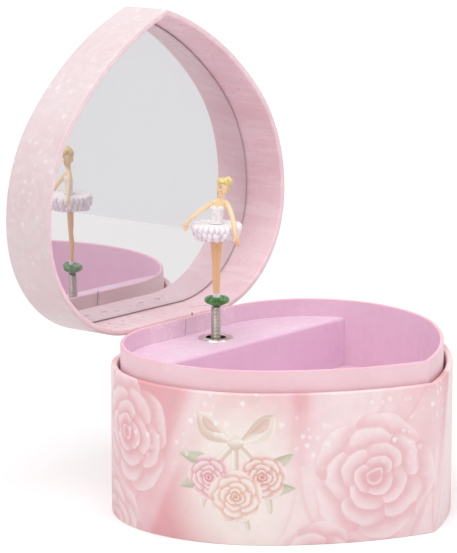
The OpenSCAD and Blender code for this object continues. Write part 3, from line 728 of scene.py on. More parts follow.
def lay_leaf(bench, spot, colour, centre, angle, length, width, curl, light, dark, strength=1.0, drawn=1.0,
             blunt=0.7):
    """Prints one leaf or ribbon over the colour below it, with a sheen across and small creases."""
    leaf = use(bench, "ribbon leaf", Sheet=wait_for(bench, spot, colour), Centre=(centre[0], centre[1], 0),
               Angle=angle,
               Length=length, Width=width, Curl=curl, Drawn=drawn, Blunt=blunt)
    sheen = bench.remap(leaf["Across"], -1.0, 0.8)
    crease = bench.math("SINE", bench.math("MULTIPLY_ADD", leaf["Across"], 4.4,
                                           bench.math("MULTIPLY", leaf["Along"], 3.0)))
    sheen = bench.math("MULTIPLY", sheen, bench.remap(crease, -1.0, 0.6, 0.55, 1.0))
    return bench.mix(bench.math("MULTIPLY", leaf["Mask"], strength), colour, bench.mix(sheen, dark, light))


def posy(bench, spot, colour):
    """Blossoms over leaves, tied with a bow, drawn in a frame where the whole posy is 1 wide."""
    glow = bench.vector("LENGTH", bench.vector("MULTIPLY", bench.vector("ADD", spot, (0, 0.1, 0)),
                                               (1.0, 0.66, 0)))
    colour = bench.mix(bench.math("MULTIPLY", bench.math("SUBTRACT", 1.0, bench.remap(glow, 0.22, 0.72)),
                                  0.9), colour, CREAM)
    sage, sage_dark = SRGB(232, 228, 210), SRGB(192, 192, 166)
    for angle, length in ((2.72, 0.52), (3.3, 0.5), (0.36, 0.52), (-0.2, 0.5), (-1.2, 0.3), (-1.95, 0.3)):
        colour = lay_leaf(bench, spot, colour, (0, -0.1), angle, length, 0.075, 0.035, sage, sage_dark, 0.95)
    ribbon, ribbon_dark = SRGB(255, 251, 242), SRGB(228, 206, 190)
    for angle, length, curl in ((-2.02, 0.66, -0.07), (-1.1, 0.62, 0.07), (-1.72, 0.74, 0.05)):
        colour = lay_leaf(bench, spot, colour, (0, 0.2), angle, length, 0.042, curl, ribbon, ribbon_dark,
                          1.0, 1.0, 0.22)
    for x, y, size, seed, pale, deep in ((-0.22, -0.08, 0.21, 0.3, SRGB(252, 232, 226), SRGB(222, 164, 154)),
                                         (0.22, -0.1, 0.2, 1.4, SRGB(252, 228, 230), SRGB(226, 160, 168)),
                                         (0.0, -0.25, 0.23, 2.2, SRGB(254, 240, 232), SRGB(230, 180, 162))):
        local = bench.vector("SCALE", bench.vector("SUBTRACT", spot, (x, y, 0)), 1 / size)
        colour = lay_rose(bench, local, colour, seed, 1.0, pale, deep)
    for angle, curl in ((2.5, 0.04), (0.64, -0.04)):
        colour = lay_leaf(bench, spot, colour, (0, 0.2), angle, 0.4, 0.1, curl, ribbon, ribbon_dark, 1.0,
                          1.5, 0.8)
        start = (0.14 * math.cos(angle), 0.2 + 0.14 * math.sin(angle))
        colour = lay_leaf(bench, spot, colour, start, angle, 0.21, 0.042, curl * 0.5, SRGB(240, 214, 204),
                          SRGB(226, 190, 182), 0.85, 1.4)
    return lay_leaf(bench, spot, colour, (-0.07, 0.2), 0.05, 0.14, 0.07, 0.0, ribbon, ribbon_dark)


def printed_paper(name, roses, posies, heart_band, lift=0.0, rose_strength=0.75, heart_strength=1.0,
                  tone=1.0):
    """Satin folds, then roses, posies and hearts, one printed over the other, on worn paper."""
    material, bench, shader = finish_material(name)
    sheet = bench.sheet()
    colour = satin(bench, sheet)
    spot, number = nearest(bench, sheet, roses)
    colour = lay_rose(bench, spot, colour, number, rose_strength, PINK_PALE, PINK_DEEP)
    if posies:
        spot, _ = nearest(bench, sheet, posies)
        colour = posy(bench, spot, colour)
    if lift:
        colour = bench.mix(lift, colour, SRGB(220, 206, 209))
    low, high = heart_band
    hearts = use(bench, "heart field", Sheet=wait_for(bench, sheet, colour), Scale=21.0, Size=0.23,
                 Share=0.62, Blur=0.42)
    _, up, _ = bench.split(sheet)
    cluster = bench.remap(bench.noise(sheet, 4.0, 1, 0.5, dims="2D"), 0.38, 0.62)
    amount = bench.math("MULTIPLY", bench.math("MULTIPLY", hearts["Mask"], bench.remap(up, low, high)),
                        cluster)
    amount = bench.math("MULTIPLY", amount, bench.remap(hearts["Tone"], 0, 1, 0.35 * heart_strength,
                                                        0.8 * heart_strength))
    colour = bench.mix(amount, colour, SRGB(255, 250, 250))
    paper = use(bench, "paper surface", Place=wait_for(bench, bench.place(), colour), Fibre=1.0)
    tint = bench.add("ShaderNodeHueSaturation")
    bench.join(colour, tint.inputs["Color"])
    bench.join(bench.remap(paper["Mottle"], 0.3, 0.7, 0.975 * tone, 1.02 * tone), tint.inputs["Value"])
    tint.inputs["Saturation"].default_value = 1 + (1 - tone) * 0.6
    colour = bench.mix(bench.math("MULTIPLY", paper["Dust"], 0.05), tint.outputs["Color"],
                       SRGB(214, 190, 184))
    bench.join(colour, shader["Base Color"])
    shader["IOR"].default_value = 1.46
    bench.join(bench.remap(paper["Dust"], 0, 1, 0.4, 0.52), shader["Roughness"])
    shader["Coat Weight"].default_value = 0.16
    shader["Coat Roughness"].default_value = 0.28
    bench.join(bench.bump(paper["Height"], 0.35, 0.00012), shader["Normal"])
    return material


half_way = ROUND / MM / 200
base_print = printed_paper(
    "base_print",
    [(half_way + 0.30, 0.30, 0.30), (half_way + 1.52, 0.44, 0.29), (half_way + 1.66, -0.02, 0.27),
     (half_way + 0.56, -0.12, 0.24),
     (half_way - 0.62, 0.22, 0.3), (half_way - 1.75, 0.42, 0.3), (0.2, 0.3, 0.3),
     (half_way * 2 - 0.35, 0.25, 0.28)],
    [(half_way + 0.93, 0.36, 0.54), (half_way - 1.2, 0.34, 0.54)], (0.28, 0.46), tone=0.94)
print("print layers:", len(base_print.node_tree.nodes), "nodes")

# %% [markdown]
# ## Base wall
#
# The outer wall is 3 mm greyboard with the printed sheet glued on, turned over the rim and down
# inside. The rim is rounded by the paper's fold, and the foot is pressed slightly in.

# %% Base wall
BASE_H, WALL_T = 69.0, 3.0


def rounded(outer, inner, bottom, top, edge, foot):
    """Section of a wrapped wall from its foot, up the outside, over the rim and down inside."""
    points = [(outer - foot, bottom), (outer - foot * 0.3, bottom + foot * 0.3), (outer, bottom + foot)]
    for step in range(5):
        angle = math.pi / 2 * step / 4
        points.append((outer - edge + edge * math.cos(angle), top - edge + edge * math.sin(angle)))
    for step in range(5):
        angle = math.pi / 2 * (1 + step / 4)
        points.append((inner + edge + edge * math.cos(angle), top - edge + edge * math.sin(angle)))
    points += [(inner, bottom + foot), (inner + foot, bottom)]
    section, run = [], 0.0
    for k, (grow, z) in enumerate(points):
        if k:
            run += math.dist(points[k - 1], (grow, z))
        section.append([grow, z, run])
    section[0].append(run + math.dist(points[0], points[-1]))
    return section


base_shell = shade(outward(loft("base_shell", rounded(0, -WALL_T, 0, BASE_H, 0.9, 0.5))))
base_shell.data.materials.append(base_print)
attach(base_shell, "case")
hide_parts("base_wall")
print("base wall faces:", len(base_shell.data.polygons))

# %% [markdown]
# ## Plain pink papers
#
# Three plain papers line the box: pale pink over the collar, lilac over the stage and the inside,
# and dusty satin pink inside the lid. They share one recipe: a body colour that drifts a little,
# fibres in the surface, a painted satin sheen in pale stripes, and paler scuffed edges.

# %% Plain papers
def plain_paper(name, body, deep, pale, sheen_share=0.0, gloss=0.42, relief=0.3, wrinkle=0.0, way=(1.0, 1.0, 0.1)):
    """A plain paper: body colour, hollows, a painted sheen in pale stripes along `way`, and how far it
    puckers.
    """
    material, bench, shader = finish_material(name)
    place = bench.place()
    paper = use(bench, "paper surface", Place=place, Fibre=1.0)
    drift = bench.remap(bench.noise(place, 24, 3, 0.55), 0.32, 0.7)
    colour = bench.mix(bench.math("MULTIPLY", drift, 0.5), body, pale)
    # painted satin sheen: pale stripes along `way` laid over the body colour
    if sheen_share:
        long_way = bench.vector("MULTIPLY", place, way)
        painted_sheen = bench.remap(bench.noise(long_way, 260, 4, 0.6, 0.6), 0.44, 0.72)
        colour = bench.mix(bench.math("MULTIPLY", painted_sheen, sheen_share), colour, pale)
    colour = bench.mix(bench.math("MULTIPLY", bench.remap(paper["Mottle"], 0.35, 0.75), 0.10), colour, deep)
    colour = bench.mix(bench.math("MULTIPLY", paper["Rub"], 0.08), colour, SRGB(252, 244, 246))
    edge = bench.add("ShaderNodeNewGeometry").outputs["Pointiness"]
    worn = bench.math("MULTIPLY", bench.remap(edge, 0.53, 0.6),
                      bench.remap(paper["Rub"], 0.0, 0.7, 0.35, 1.0))
    colour = bench.mix(bench.math("MULTIPLY", worn, 0.35), colour, SRGB(255, 246, 248))
    bench.join(colour, shader["Base Color"])
    shader["IOR"].default_value = 1.46
    bench.join(bench.remap(paper["Mottle"], 0.2, 0.8, gloss - 0.05, gloss + 0.08), shader["Roughness"])
    shader["Sheen Weight"].default_value = 0.04
    normal = bench.bump(paper["Height"], relief, 0.00012)
    if wrinkle:
        puckers = bench.noise(bench.vector("MULTIPLY", place, way), 95, 3, 0.55, 0.8)
        normal = bench.bump(puckers, wrinkle * 0.5, 0.0008, normal)
    bench.join(normal, shader["Normal"])
    return material


collar_pink = plain_paper("collar_pink", SRGB(238, 200, 208), SRGB(222, 172, 184), SRGB(243, 214, 221))
rim_pink = plain_paper("rim_pink", SRGB(240, 186, 202), SRGB(222, 156, 178), SRGB(248, 208, 218))
lilac = plain_paper("lilac", SRGB(230, 190, 212), SRGB(206, 158, 188), SRGB(238, 205, 224), sheen_share=0.3,
                    gloss=0.36, wrinkle=1.0)
stage_lilac = plain_paper("stage_lilac", SRGB(233, 195, 220), SRGB(212, 168, 200), SRGB(239, 208, 229),
                          gloss=0.34)
lid_satin = plain_paper("lid_satin", SRGB(241, 205, 213), SRGB(220, 174, 187), SRGB(254, 233, 238),
                        sheen_share=0.6, gloss=0.3, relief=0.06,
                        wrinkle=0.2, way=(1.0, 0.1, 1.0))

# %% [markdown]
# ## Collar
#
# The collar is a thinner wall glued inside the base. It stands 9.5 mm above the rim and guides the
# lid when it shuts. It is pale pink outside and lilac inside, with a brighter cut edge on top.

# %% Collar
COLLAR_OUT, COLLAR_IN, FLOOR_Z, COLLAR_TOP = -4.3, -6.1, 17.5, 78.5
collar_shell = loft("collar_shell", rounded(COLLAR_OUT, COLLAR_IN, FLOOR_Z, COLLAR_TOP, 0.55, 0.1))
outward(collar_shell)
# the faces of a box whose eight corners run through x, then y, then z
BOX_FACES = [(0, 1, 3, 2), (4, 6, 7, 5), (0, 4, 5, 1), (2, 3, 7, 6), (0, 2, 6, 4), (1, 5, 7, 3)]


def cut_away(piece, cutter_box):
    """Takes a box out of a closed piece. The box is two corners in mm."""
    low, high = (Vector(c) * MM for c in cutter_box)
    corners = [(x, y, z) for x in (low.x, high.x) for y in (low.y, high.y) for z in (low.z, high.z)]
    cutter = outward(new_piece("cutter", corners, BOX_FACES))
    cut = piece.modifiers.new("cut", "BOOLEAN")
    cut.operation, cut.object, cut.solver = "DIFFERENCE", cutter, "EXACT"
    bake(piece)
    bpy.data.objects.remove(cutter)
    return piece


cut_away(collar_shell, ((1.1, -5.6, 43.7), (2.9, -1.8, 48.6)))
shade(collar_shell)
for paper in (collar_pink, lilac, rim_pink):
    collar_shell.data.materials.append(paper)


def paint_by_side(piece, rule):
    """Chooses each face's material slot from its middle, given in mm."""
    for polygon in piece.data.polygons:
        polygon.material_index = rule(polygon.center / MM)


def grow_of(point):
    """How far a point lies outside the plan line, in mm (rough, from the nearest vertex)."""
    x, y = point[0] * MM, point[1] * MM
    near = min(range(len(outer_line)),
               key=lambda i: (outer_line[i][0] - x) ** 2 + (outer_line[i][1] - y) ** 2)
    return -math.dist(outer_line[near], (x, y)) / MM


def collar_rule(centre):
    """The cut edge on top, then pink paper outside and lilac inside."""
    if centre.z > COLLAR_TOP - 0.5:
        return 2
    return 0 if grow_of(centre) > (COLLAR_OUT + COLLAR_IN) / 2 else 1


paint_by_side(collar_shell, collar_rule)

# the overlap of the lining shows as one thin dark line on the back wall, a dark strip painted as the shadow
# in the joint
SEAM = ((-5.9, 68.6), (-5.2, 77.6))
seam_back, seam_face = BACK_Y + COLLAR_IN + 0.3, BACK_Y + COLLAR_IN - 0.04
seam_points = [(x + side, y, z) for (x, z) in SEAM for y in (seam_back, seam_face) for side in (-0.13, 0.13)]
seam_shadow_strip = new_piece("lining_seam_shadow", seam_points, BOX_FACES, Matrix.Scale(MM, 4))
outward(seam_shadow_strip)
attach(collar_shell, "case")
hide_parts("collar")
seam_shadow_strip.data.materials.append(plain_paper("seam_shade", SRGB(140, 104, 128), SRGB(104, 74, 96),
                                            SRGB(176, 136, 160), gloss=0.6))
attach(seam_shadow_strip, "case")
print("collar stands", COLLAR_TOP - BASE_H, "mm above the rim")

# %% [markdown]
# ## Lid
#
# The lid is a shallow box on the same plan: a wall, and a top board, both wrapped in a paler print.
# Here it is one closed shell, drawn shut and then turned open. The rim is rounded where the paper
# folds in, and the top edge is rounded more softly, where the sheet is drawn over two boards.

# %% Lid shell
LID_TOP = LID_SHUT_Z + LID_DEPTH
LID_INNER = 94.3
LID_IN = -3.0
TOP_EDGE, RIM_EDGE = 1.6, 0.9
# faces further in than this belong to the inner wall
LINING_FROM = -1.6


def cap(piece, ring, count, shift):
    """Closes one end ring of a loft with a flat sheet of its own print."""
    mesh = piece.data
    work = bmesh.new()
    work.from_mesh(mesh)
    work.verts.ensure_lookup_table()
    layer = work.loops.layers.uv["sheet"]
    face = work.faces.new([work.verts[ring * count + i] for i in range(count)])
    for loop, point in zip(face.loops, whole_plan(0)):
        loop[layer].uv = (point[0] * 10 + shift, point[1] * 10 + shift)
    work.to_mesh(mesh)
    work.free()


lid_section = []
for step in range(6):
    angle = math.pi / 2 * (1 - step / 5)
    lid_section.append((-TOP_EDGE + TOP_EDGE * math.cos(angle),
                        LID_TOP - TOP_EDGE + TOP_EDGE * math.sin(angle)))
lid_section.append((0, LID_SHUT_Z + RIM_EDGE))
for step in range(1, 5):
    angle = math.pi / 2 * step / 4
    lid_section.append((-RIM_EDGE + RIM_EDGE * math.cos(angle),
                        LID_SHUT_Z + RIM_EDGE - RIM_EDGE * math.sin(angle)))
for step in range(5):
    angle = math.pi / 2 * step / 4
    lid_section.append((LID_IN + RIM_EDGE - RIM_EDGE * math.sin(angle),
                        LID_SHUT_Z + RIM_EDGE - RIM_EDGE * math.cos(angle)))
lid_section.append((LID_IN, LID_INNER))
run = 0.0
for k, (grow, z) in enumerate(lid_section):
    if k:
        run += math.dist(lid_section[k - 1][:2], (grow, z))
    lid_section[k] = [grow, z, run]
lid_shell = loft("lid_shell", lid_section, wrap=False)
around = len(whole_plan(0))
cap(lid_shell, 0, around, 10.0)
cap(lid_shell, len(lid_section) - 1, around, 20.0)
outward(lid_shell)
shade(lid_shell)
lid_print = printed_paper(
    "lid_print",
    [(half_way + 1.2, 0.12, 0.3), (half_way + 0.4, 0.22, 0.24), (half_way - 1.2, 0.15, 0.28),
     (10.0, 9.15, 0.42), (9.55, 9.72, 0.34),
     (10.45, 9.68, 0.34)],
    [], (-0.3, 0.0), lift=0.8, rose_strength=0.65, heart_strength=0.4)
lid_shell.data.materials.append(lid_print)
lid_shell.data.materials.append(lid_satin)


def lid_rule(centre):
    """Satin paper on the inner wall, the print everywhere else."""
    return 1 if grow_of(centre) < LINING_FROM and centre.z < LID_TOP - 1 else 0


paint_by_side(lid_shell, lid_rule)
lid_shell.data.transform(OPENED)
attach(lid_shell, "lid")
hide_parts("lid_wall", "lid_top")
print("lid faces:", len(lid_shell.data.polygons))

# %% [markdown]
# ## Mirror
#
# A sheet of silvered glass cut to the plan, with its edge ground to a small bevel. It lies on a
# board glued inside the lid, and a narrow dark gap runs round it.

# %% Mirror
MIRROR_FACE = 91.3
edge_of_glass = -3.4
glass_section = [(edge_of_glass - 0.9, MIRROR_FACE), (edge_of_glass - 0.25, MIRROR_FACE + 0.22),
                 (edge_of_glass, MIRROR_FACE + 0.5), (edge_of_glass, MIRROR_FACE + 2.0)]
glass_section = [[g, z, abs(z - MIRROR_FACE)] for g, z in glass_section]
mirror_plate = loft("mirror_plate", glass_section, wrap=False)
cap(mirror_plate, 0, around, 0.0)
cap(mirror_plate, len(glass_section) - 1, around, 5.0)
outward(mirror_plate)
shade(mirror_plate, 12)
mirror_plate.data.transform(OPENED)

silver, bench, shader = finish_material("silvered_glass")
place = bench.place()
dust = bench.remap(bench.noise(place, 55, 5, 0.6), 0.5, 0.8)
specks = bench.remap(bench.noise(place, 900, 2, 0.5), 0.66, 0.74)
tint = bench.mix(bench.math("MULTIPLY", dust, 0.35), (0.82, 0.82, 0.828, 1), (0.79, 0.79, 0.80, 1))
bench.join(bench.mix(bench.math("MULTIPLY", specks, 0.25), tint, (0.85, 0.85, 0.86, 1)), shader["Base Color"])
shader["Metallic"].default_value = 0.85
bench.join(bench.math("ADD", bench.math("MULTIPLY", dust, 0.03),
                      bench.math("MULTIPLY_ADD", specks, 0.06, 0.012)), shader["Roughness"])
# the sheet lies on uneven glue, a couple of degrees out of true, and is faintly wavy
across, _, up = bench.split(place)
lean = bench.math("MULTIPLY_ADD", up, 0.042, bench.math("MULTIPLY", across, 0.032))
waviness = bench.noise(place, 16, 1, 0.4)
bench.join(bench.bump(waviness, 0.05, 0.0002, bench.bump(lean, 1.0, 1.0)), shader["Normal"])
mirror_plate.data.materials.append(silver)
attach(mirror_plate, "lid")
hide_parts("mirror")
print("mirror bevel 0.9 mm, glass 2 mm")

# %% [markdown]
# ## Stage and tray
#
# The stage over the movement is one board folded at its front edge and covered in lilac paper. The
# fold is soft. A hole near the back takes the metal eyelet.

# %% Stage
STAGE_Z, STAGE_Y, BOARD_T, POST_Y = 70.0, -36.5, 2.0, -18.9
STAGE_FOLD_R, EYELET_HOLE_R = 1.5, 5.4
inner_fit = COLLAR_IN - 0.12
lining = half_plan(inner_fit, 1.0)
side_points = [p for p in lining if p[1] > STAGE_Y + 1.6]


def lining_x(y):
    """Half width of the lining at a given y, on the flank."""
    for (xa, ya), (xb, yb) in zip(lining, lining[1:]):
        if ya >= y > yb:
            return xa + (xb - xa) * (ya - y) / (ya - yb)
    return lining[0][0]


fold_line = []
for k in range(7):
    angle = math.pi / 2 * k / 6
    fold_line.append((STAGE_Y + STAGE_FOLD_R - STAGE_FOLD_R * math.sin(angle),
                      STAGE_Z - STAGE_FOLD_R + STAGE_FOLD_R * math.cos(angle)))
work = bmesh.new()
right_side = [work.verts.new((x, y, STAGE_Z)) for x, y in side_points]
left_side = [work.verts.new((-x, y, STAGE_Z)) for x, y in reversed(side_points[1:])]
front_steps = 24
rows = []
for y, z in fold_line + [(STAGE_Y, z) for z in (66, 62, 58, 54, 50, 46.05)]:
    half = lining_x(y)
    rows.append([work.verts.new((half - 2 * half * k / front_steps, y, z)) for k in range(front_steps + 1)])
border = left_side + right_side + rows[0]
hole = []
for k in range(48):
    angle = 2 * math.pi * k / 48
    hole.append(work.verts.new((EYELET_HOLE_R * math.cos(angle), POST_Y + EYELET_HOLE_R * math.sin(angle),
                                STAGE_Z)))
edges = [work.edges.new((a, b)) for a, b in zip(border, border[1:] + border[:1])]
edges += [work.edges.new((a, b)) for a, b in zip(hole, hole[1:] + hole[:1])]
bmesh.ops.triangle_fill(work, edges=edges, use_beauty=True)
for upper, lower in zip(rows, rows[1:]):
    for k in range(front_steps):
        work.faces.new((upper[k], upper[k + 1], lower[k + 1], lower[k]))
bmesh.ops.recalc_face_normals(work, faces=work.faces)
if sum(f.normal.z for f in work.faces if abs(f.normal.z) > 0.9) < 0:
    bmesh.ops.reverse_faces(work, faces=work.faces)
mesh = bpy.data.meshes.new("stage_cover")
work.to_mesh(mesh)
work.free()
mesh.transform(Matrix.Scale(MM, 4))
stage_cover = bpy.data.objects.new("stage_cover", mesh)
scene.collection.objects.link(stage_cover)
thick = stage_cover.modifiers.new("board", "SOLIDIFY")
thick.thickness, thick.offset = BOARD_T * MM, -1.0
thick.use_even_offset = True
board = bake(stage_cover)
shade(stage_cover, 40)
board.materials.append(stage_lilac)
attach(stage_cover, "case")
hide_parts("stage_top", "stage_front")
print("stage cover faces:", len(board.polygons))

# %% [markdown]
# ## Metals and plastics
#
# The hinges and eyelet are nickel plate: bright, softly scratched, a little yellow where fingers
# reach. The movement has cast zinc, turned steel, brass and a white nylon governor. Each metal
# gets scratches along its working direction, a mottled tarnish, and edges rubbed bright.

# %% Metal finishes
bench, given, result = group("worn metal", [("Place", "vector", None), ("Grain", "value", 1.0)],
                             [("Tarnish", "value"), ("Scratch", "value"), ("Height", "value")])
cloud = bench.remap(bench.noise(given["Place"], 190, 5, 0.62), 0.4, 0.72)
fine_way = bench.vector("MULTIPLY", given["Place"], (1.0, 0.06, 1.0))
fine_lines = bench.noise(fine_way, 5200, 3, 0.7)
long_way = bench.vector("MULTIPLY", given["Place"], (0.07, 1.0, 0.6))
long_lines = bench.remap(bench.noise(long_way, 1900, 2, 0.6), 0.56, 0.66)
bench.join(cloud, result["Tarnish"])
bench.join(bench.math("MULTIPLY", long_lines, given["Grain"]), result["Scratch"])
bench.join(bench.math("ADD", bench.math("MULTIPLY", fine_lines, given["Grain"]),
                      bench.math("MULTIPLY", long_lines, -0.4)),
           result["Height"])


def metal(name, bright, tarnished, rough, grain=1.0, metallic=1.0, relief=0.2):
    """A worked metal that tarnishes in clouds and stays bright on its edges and scratches."""
    material, bench, shader = finish_material(name)
    wear = use(bench, "worn metal", Place=bench.place(), Grain=grain)
    edge = bench.remap(bench.add("ShaderNodeNewGeometry").outputs["Pointiness"], 0.52, 0.58)
    colour = bench.mix(bench.math("MULTIPLY", wear["Tarnish"], 0.6), bright, tarnished)
    colour = bench.mix(bench.math("MULTIPLY", wear["Scratch"], 0.4), colour, bright)
    colour = bench.mix(bench.math("MULTIPLY", edge, 0.5), colour, bright)
    bench.join(colour, shader["Base Color"])
    shader["Metallic"].default_value = metallic
    soft = bench.math("MULTIPLY_ADD", wear["Tarnish"], 0.14, rough)
    bench.join(bench.math("ADD", soft, bench.math("MULTIPLY", wear["Scratch"], 0.12)), shader["Roughness"])
    bench.join(bench.bump(wear["Height"], relief, 0.00003), shader["Normal"])
    return material


nickel = metal("nickel_plate", SRGB(226, 222, 214), SRGB(176, 168, 154), 0.16)
steel = metal("turned_steel", SRGB(200, 198, 196), SRGB(140, 136, 130), 0.24)
spring_steel = metal("spring_steel", SRGB(206, 202, 194), SRGB(160, 152, 142), 0.3, 0.2, 1.0, 0.04)
brass = metal("brass", SRGB(222, 186, 110), SRGB(160, 120, 62), 0.22)
zinc = metal("cast_zinc", SRGB(160, 160, 162), SRGB(112, 112, 116), 0.42, 0.6, 0.9, 0.6)
blued = metal("blued_spring", SRGB(96, 108, 140), SRGB(60, 64, 84), 0.28)


def moulded(name, body, shade_colour, rough):
    """Moulded nylon or pressed board: a matt body with flow marks and a sandy surface."""
    material, bench, shader = finish_material(name)
    place = bench.place()
    flow = bench.remap(bench.noise(place, 110, 3, 0.5, 1.4), 0.35, 0.7)
    sand = bench.noise(place, 3600, 2, 0.6)
    bench.join(bench.mix(bench.math("MULTIPLY", flow, 0.6), body, shade_colour), shader["Base Color"])
    bench.join(bench.math("MULTIPLY_ADD", sand, 0.16, rough - 0.08), shader["Roughness"])
    bench.join(bench.bump(bench.math("ADD", sand, flow), 0.4, 0.00005), shader["Normal"])
    return material


nylon = moulded("white_nylon", SRGB(238, 237, 232), SRGB(222, 219, 210), 0.4)
greyboard = moulded("greyboard", SRGB(172, 158, 142), SRGB(150, 136, 120), 0.85)

for_nodes = {
    nickel: ("stage_eyelet", "base_hinge_leaves", "lid_hinge_leaves", "hinge_rivets_base", "movement_screws"),
    steel: ("hinge_pins", "output_spindle", "winding_arbor", "cylinder_arbor", "comb", "comb_screws",
            "stop_wire"),
    brass: ("barrel_drum", "barrel_cap", "winding_key", "pinned_cylinder"),
    zinc: ("movement_bedplate", "barrel_bridge", "cylinder_brackets", "comb_seat"),
    blued: ("mainspring",),
    nylon: ("governor_housing", "governor_pinion"),
    greyboard: ("base_floor", "mirror_backing"),
    lilac: ("tray_floor",),
    lid_satin: ("hinge_rivets_lid",),
}
for material, names in for_nodes.items():
    for node_name in names:
        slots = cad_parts[node_name].data.materials
        slots.clear()
        slots.append(material)
print("frame nodes dressed:", sum(len(names) for names in for_nodes.values()))

# %% [markdown]
# ## Spring
#
# The dancer stands on a close-wound coil, so that the closing lid can lay her flat and she springs
# up again. One wire is swept along a helix by Geometry Nodes; turns, radius, pitch and wire are
# its named inputs.

# %% Coil spring by Geometry Nodes
def node_inputs(tree, inputs):
    """Declares a Geometry Nodes tree's named inputs, with the mesh first, and returns their sockets."""
    tree.interface.new_socket(name="Geometry", in_out="INPUT", socket_type="NodeSocketGeometry")
    for label, kind, default in inputs:
        socket = tree.interface.new_socket(name=label, in_out="INPUT", socket_type=kind)
        if default is not None:
            socket.default_value = default
    tree.interface.new_socket(name="Geometry", in_out="OUTPUT", socket_type="NodeSocketGeometry")
    return tree.nodes.new("NodeGroupInput").outputs, tree.nodes.new("NodeGroupOutput").inputs


def grow(name, tree, values, material):
    """Runs a Geometry Nodes tree on an empty piece and keeps the result as a plain mesh."""
    piece = new_piece(name, [(0, 0, 0)], [])
    modifier = piece.modifiers.new("grow", "NODES")
    modifier.node_group = tree
    for item in tree.interface.items_tree:
        if item.in_out == "INPUT" and item.name in values:
            modifier[item.identifier] = values[item.name]
    mesh = bake(piece)
    mesh.materials.clear()
    mesh.materials.append(material)
    for polygon in mesh.polygons:
        polygon.material_index = 0
    return piece


coil_tree = bpy.data.node_groups.new("coil spring", "GeometryNodeTree")
given, result = node_inputs(coil_tree, [("Turns", "NodeSocketFloat", 29.0),
                                        ("Radius", "NodeSocketFloat", 0.00195),
                                        ("Height", "NodeSocketFloat", 0.0203),
                                        ("Foot", "NodeSocketVector", None),
                                        ("Wire", "NodeSocketFloat", 0.00033)])
bench = Bench(coil_tree)
helix = bench.add("GeometryNodeCurveSpiral")
helix.inputs["Resolution"].default_value = 22
for label, source in (("Rotations", "Turns"), ("Start Radius", "Radius"), ("End Radius", "Radius"),
                      ("Height", "Height")):
    bench.join(given[source], helix.inputs[label])
stand = bench.add("GeometryNodeTransform")
bench.join(helix.outputs["Curve"], stand.inputs["Geometry"])
bench.join(given["Foot"], stand.inputs["Translation"])
wire = bench.add("GeometryNodeCurvePrimitiveCircle")
wire.inputs["Resolution"].default_value = 8
bench.join(given["Wire"], wire.inputs["Radius"])
sweep = bench.add("GeometryNodeCurveToMesh")
bench.join(stand.outputs["Geometry"], sweep.inputs["Curve"])
bench.join(wire.outputs["Curve"], sweep.inputs["Profile Curve"])
sweep.inputs["Fill Caps"].default_value = True
real = bench.add("GeometryNodeRealizeInstances")
bench.join(sweep.outputs["Mesh"], real.inputs["Geometry"])
paint = bench.add("GeometryNodeSetMaterial")
paint.inputs["Material"].default_value = spring_steel
bench.join(real.outputs["Geometry"], paint.inputs["Geometry"])
bench.join(paint.outputs["Geometry"], result["Geometry"])
SPRING_FOOT, SPRING_TOP = 65.0, 85.3
coil = grow("coil_spring", coil_tree, {"Turns": 28.6, "Radius": 1.95 * MM,
                                       "Height": (SPRING_TOP - SPRING_FOOT - 0.7) * MM,
                                       "Foot": (0, POST_Y * MM, (SPRING_FOOT + 0.35) * MM),
                                       "Wire": 0.345 * MM}, spring_steel)
shade(outward(coil), 60)
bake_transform(coil)
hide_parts("dancer_spring")
print("coil triangles:", sum(len(p.vertices) - 2 for p in coil.data.polygons))

# %% [markdown]
# ## Dancer: moulded figure
#
# She is one small soft-vinyl moulding, legs together, arms out and a little down, painted by hand.
# Here she is built like clay: tapered rolls and balls are pressed together, then a fine voxel skin
# melts the joins. Her own axes are X along the arms, -Y to the front; all sizes are in mm.

# %% Clay tools
STAND = (Matrix.Translation((0, POST_Y * MM, 0)) @ Matrix.Rotation(math.radians(-49), 4, "Z")
         @ Matrix.Scale(MM, 4))


def roll(work, path, sides=20):
    """A tapered roll along [(x, y, z, half width, half depth)] with rounded ends."""
    rings = []
    count = len(path)
    for k, (x, y, z, wide, deep) in enumerate(path):
        before = Vector(path[max(k - 1, 0)][:3])
        after = Vector(path[min(k + 1, count - 1)][:3])
        way = (after - before).normalized()
        side = Vector((0, -1, 0)).cross(way)
        side = side.normalized() if side.length > 1e-4 else Vector((1, 0, 0))
        front = way.cross(side).normalized()
        middle = Vector((x, y, z))
        rings.append([middle + side * (wide * math.cos(a)) + front * (deep * math.sin(a))
                      for a in (2 * math.pi * s / sides for s in range(sides))])
    verts = [[work.verts.new(p) for p in ring] for ring in rings]
    for low, high in zip(verts, verts[1:]):
        for s in range(sides):
            work.faces.new((low[s], low[(s + 1) % sides], high[(s + 1) % sides], high[s]))
    for ring, k in ((verts[0], 0), (verts[-1], -1)):
        x, y, z, wide, deep = path[k]
        near = Vector(path[1 if k == 0 else -2][:3])
        tip = Vector((x, y, z)) + (Vector((x, y, z)) - near).normalized() * min(wide, deep) * 0.7
        top = work.verts.new(tip)
        for s in range(sides):
            work.faces.new((ring[s], ring[(s + 1) % sides], top))


def ball(work, x, y, z, rx, ry, rz, tilt=0.0):
    """A ball or egg, tilted about the figure's front-to-back axis."""
    shape = Matrix.Translation((x, y, z)) @ Matrix.Rotation(tilt, 4, "Y") @ Matrix.Diagonal((rx, ry, rz, 1))
    bmesh.ops.create_uvsphere(work, u_segments=24, v_segments=16, radius=1.0, matrix=shape)


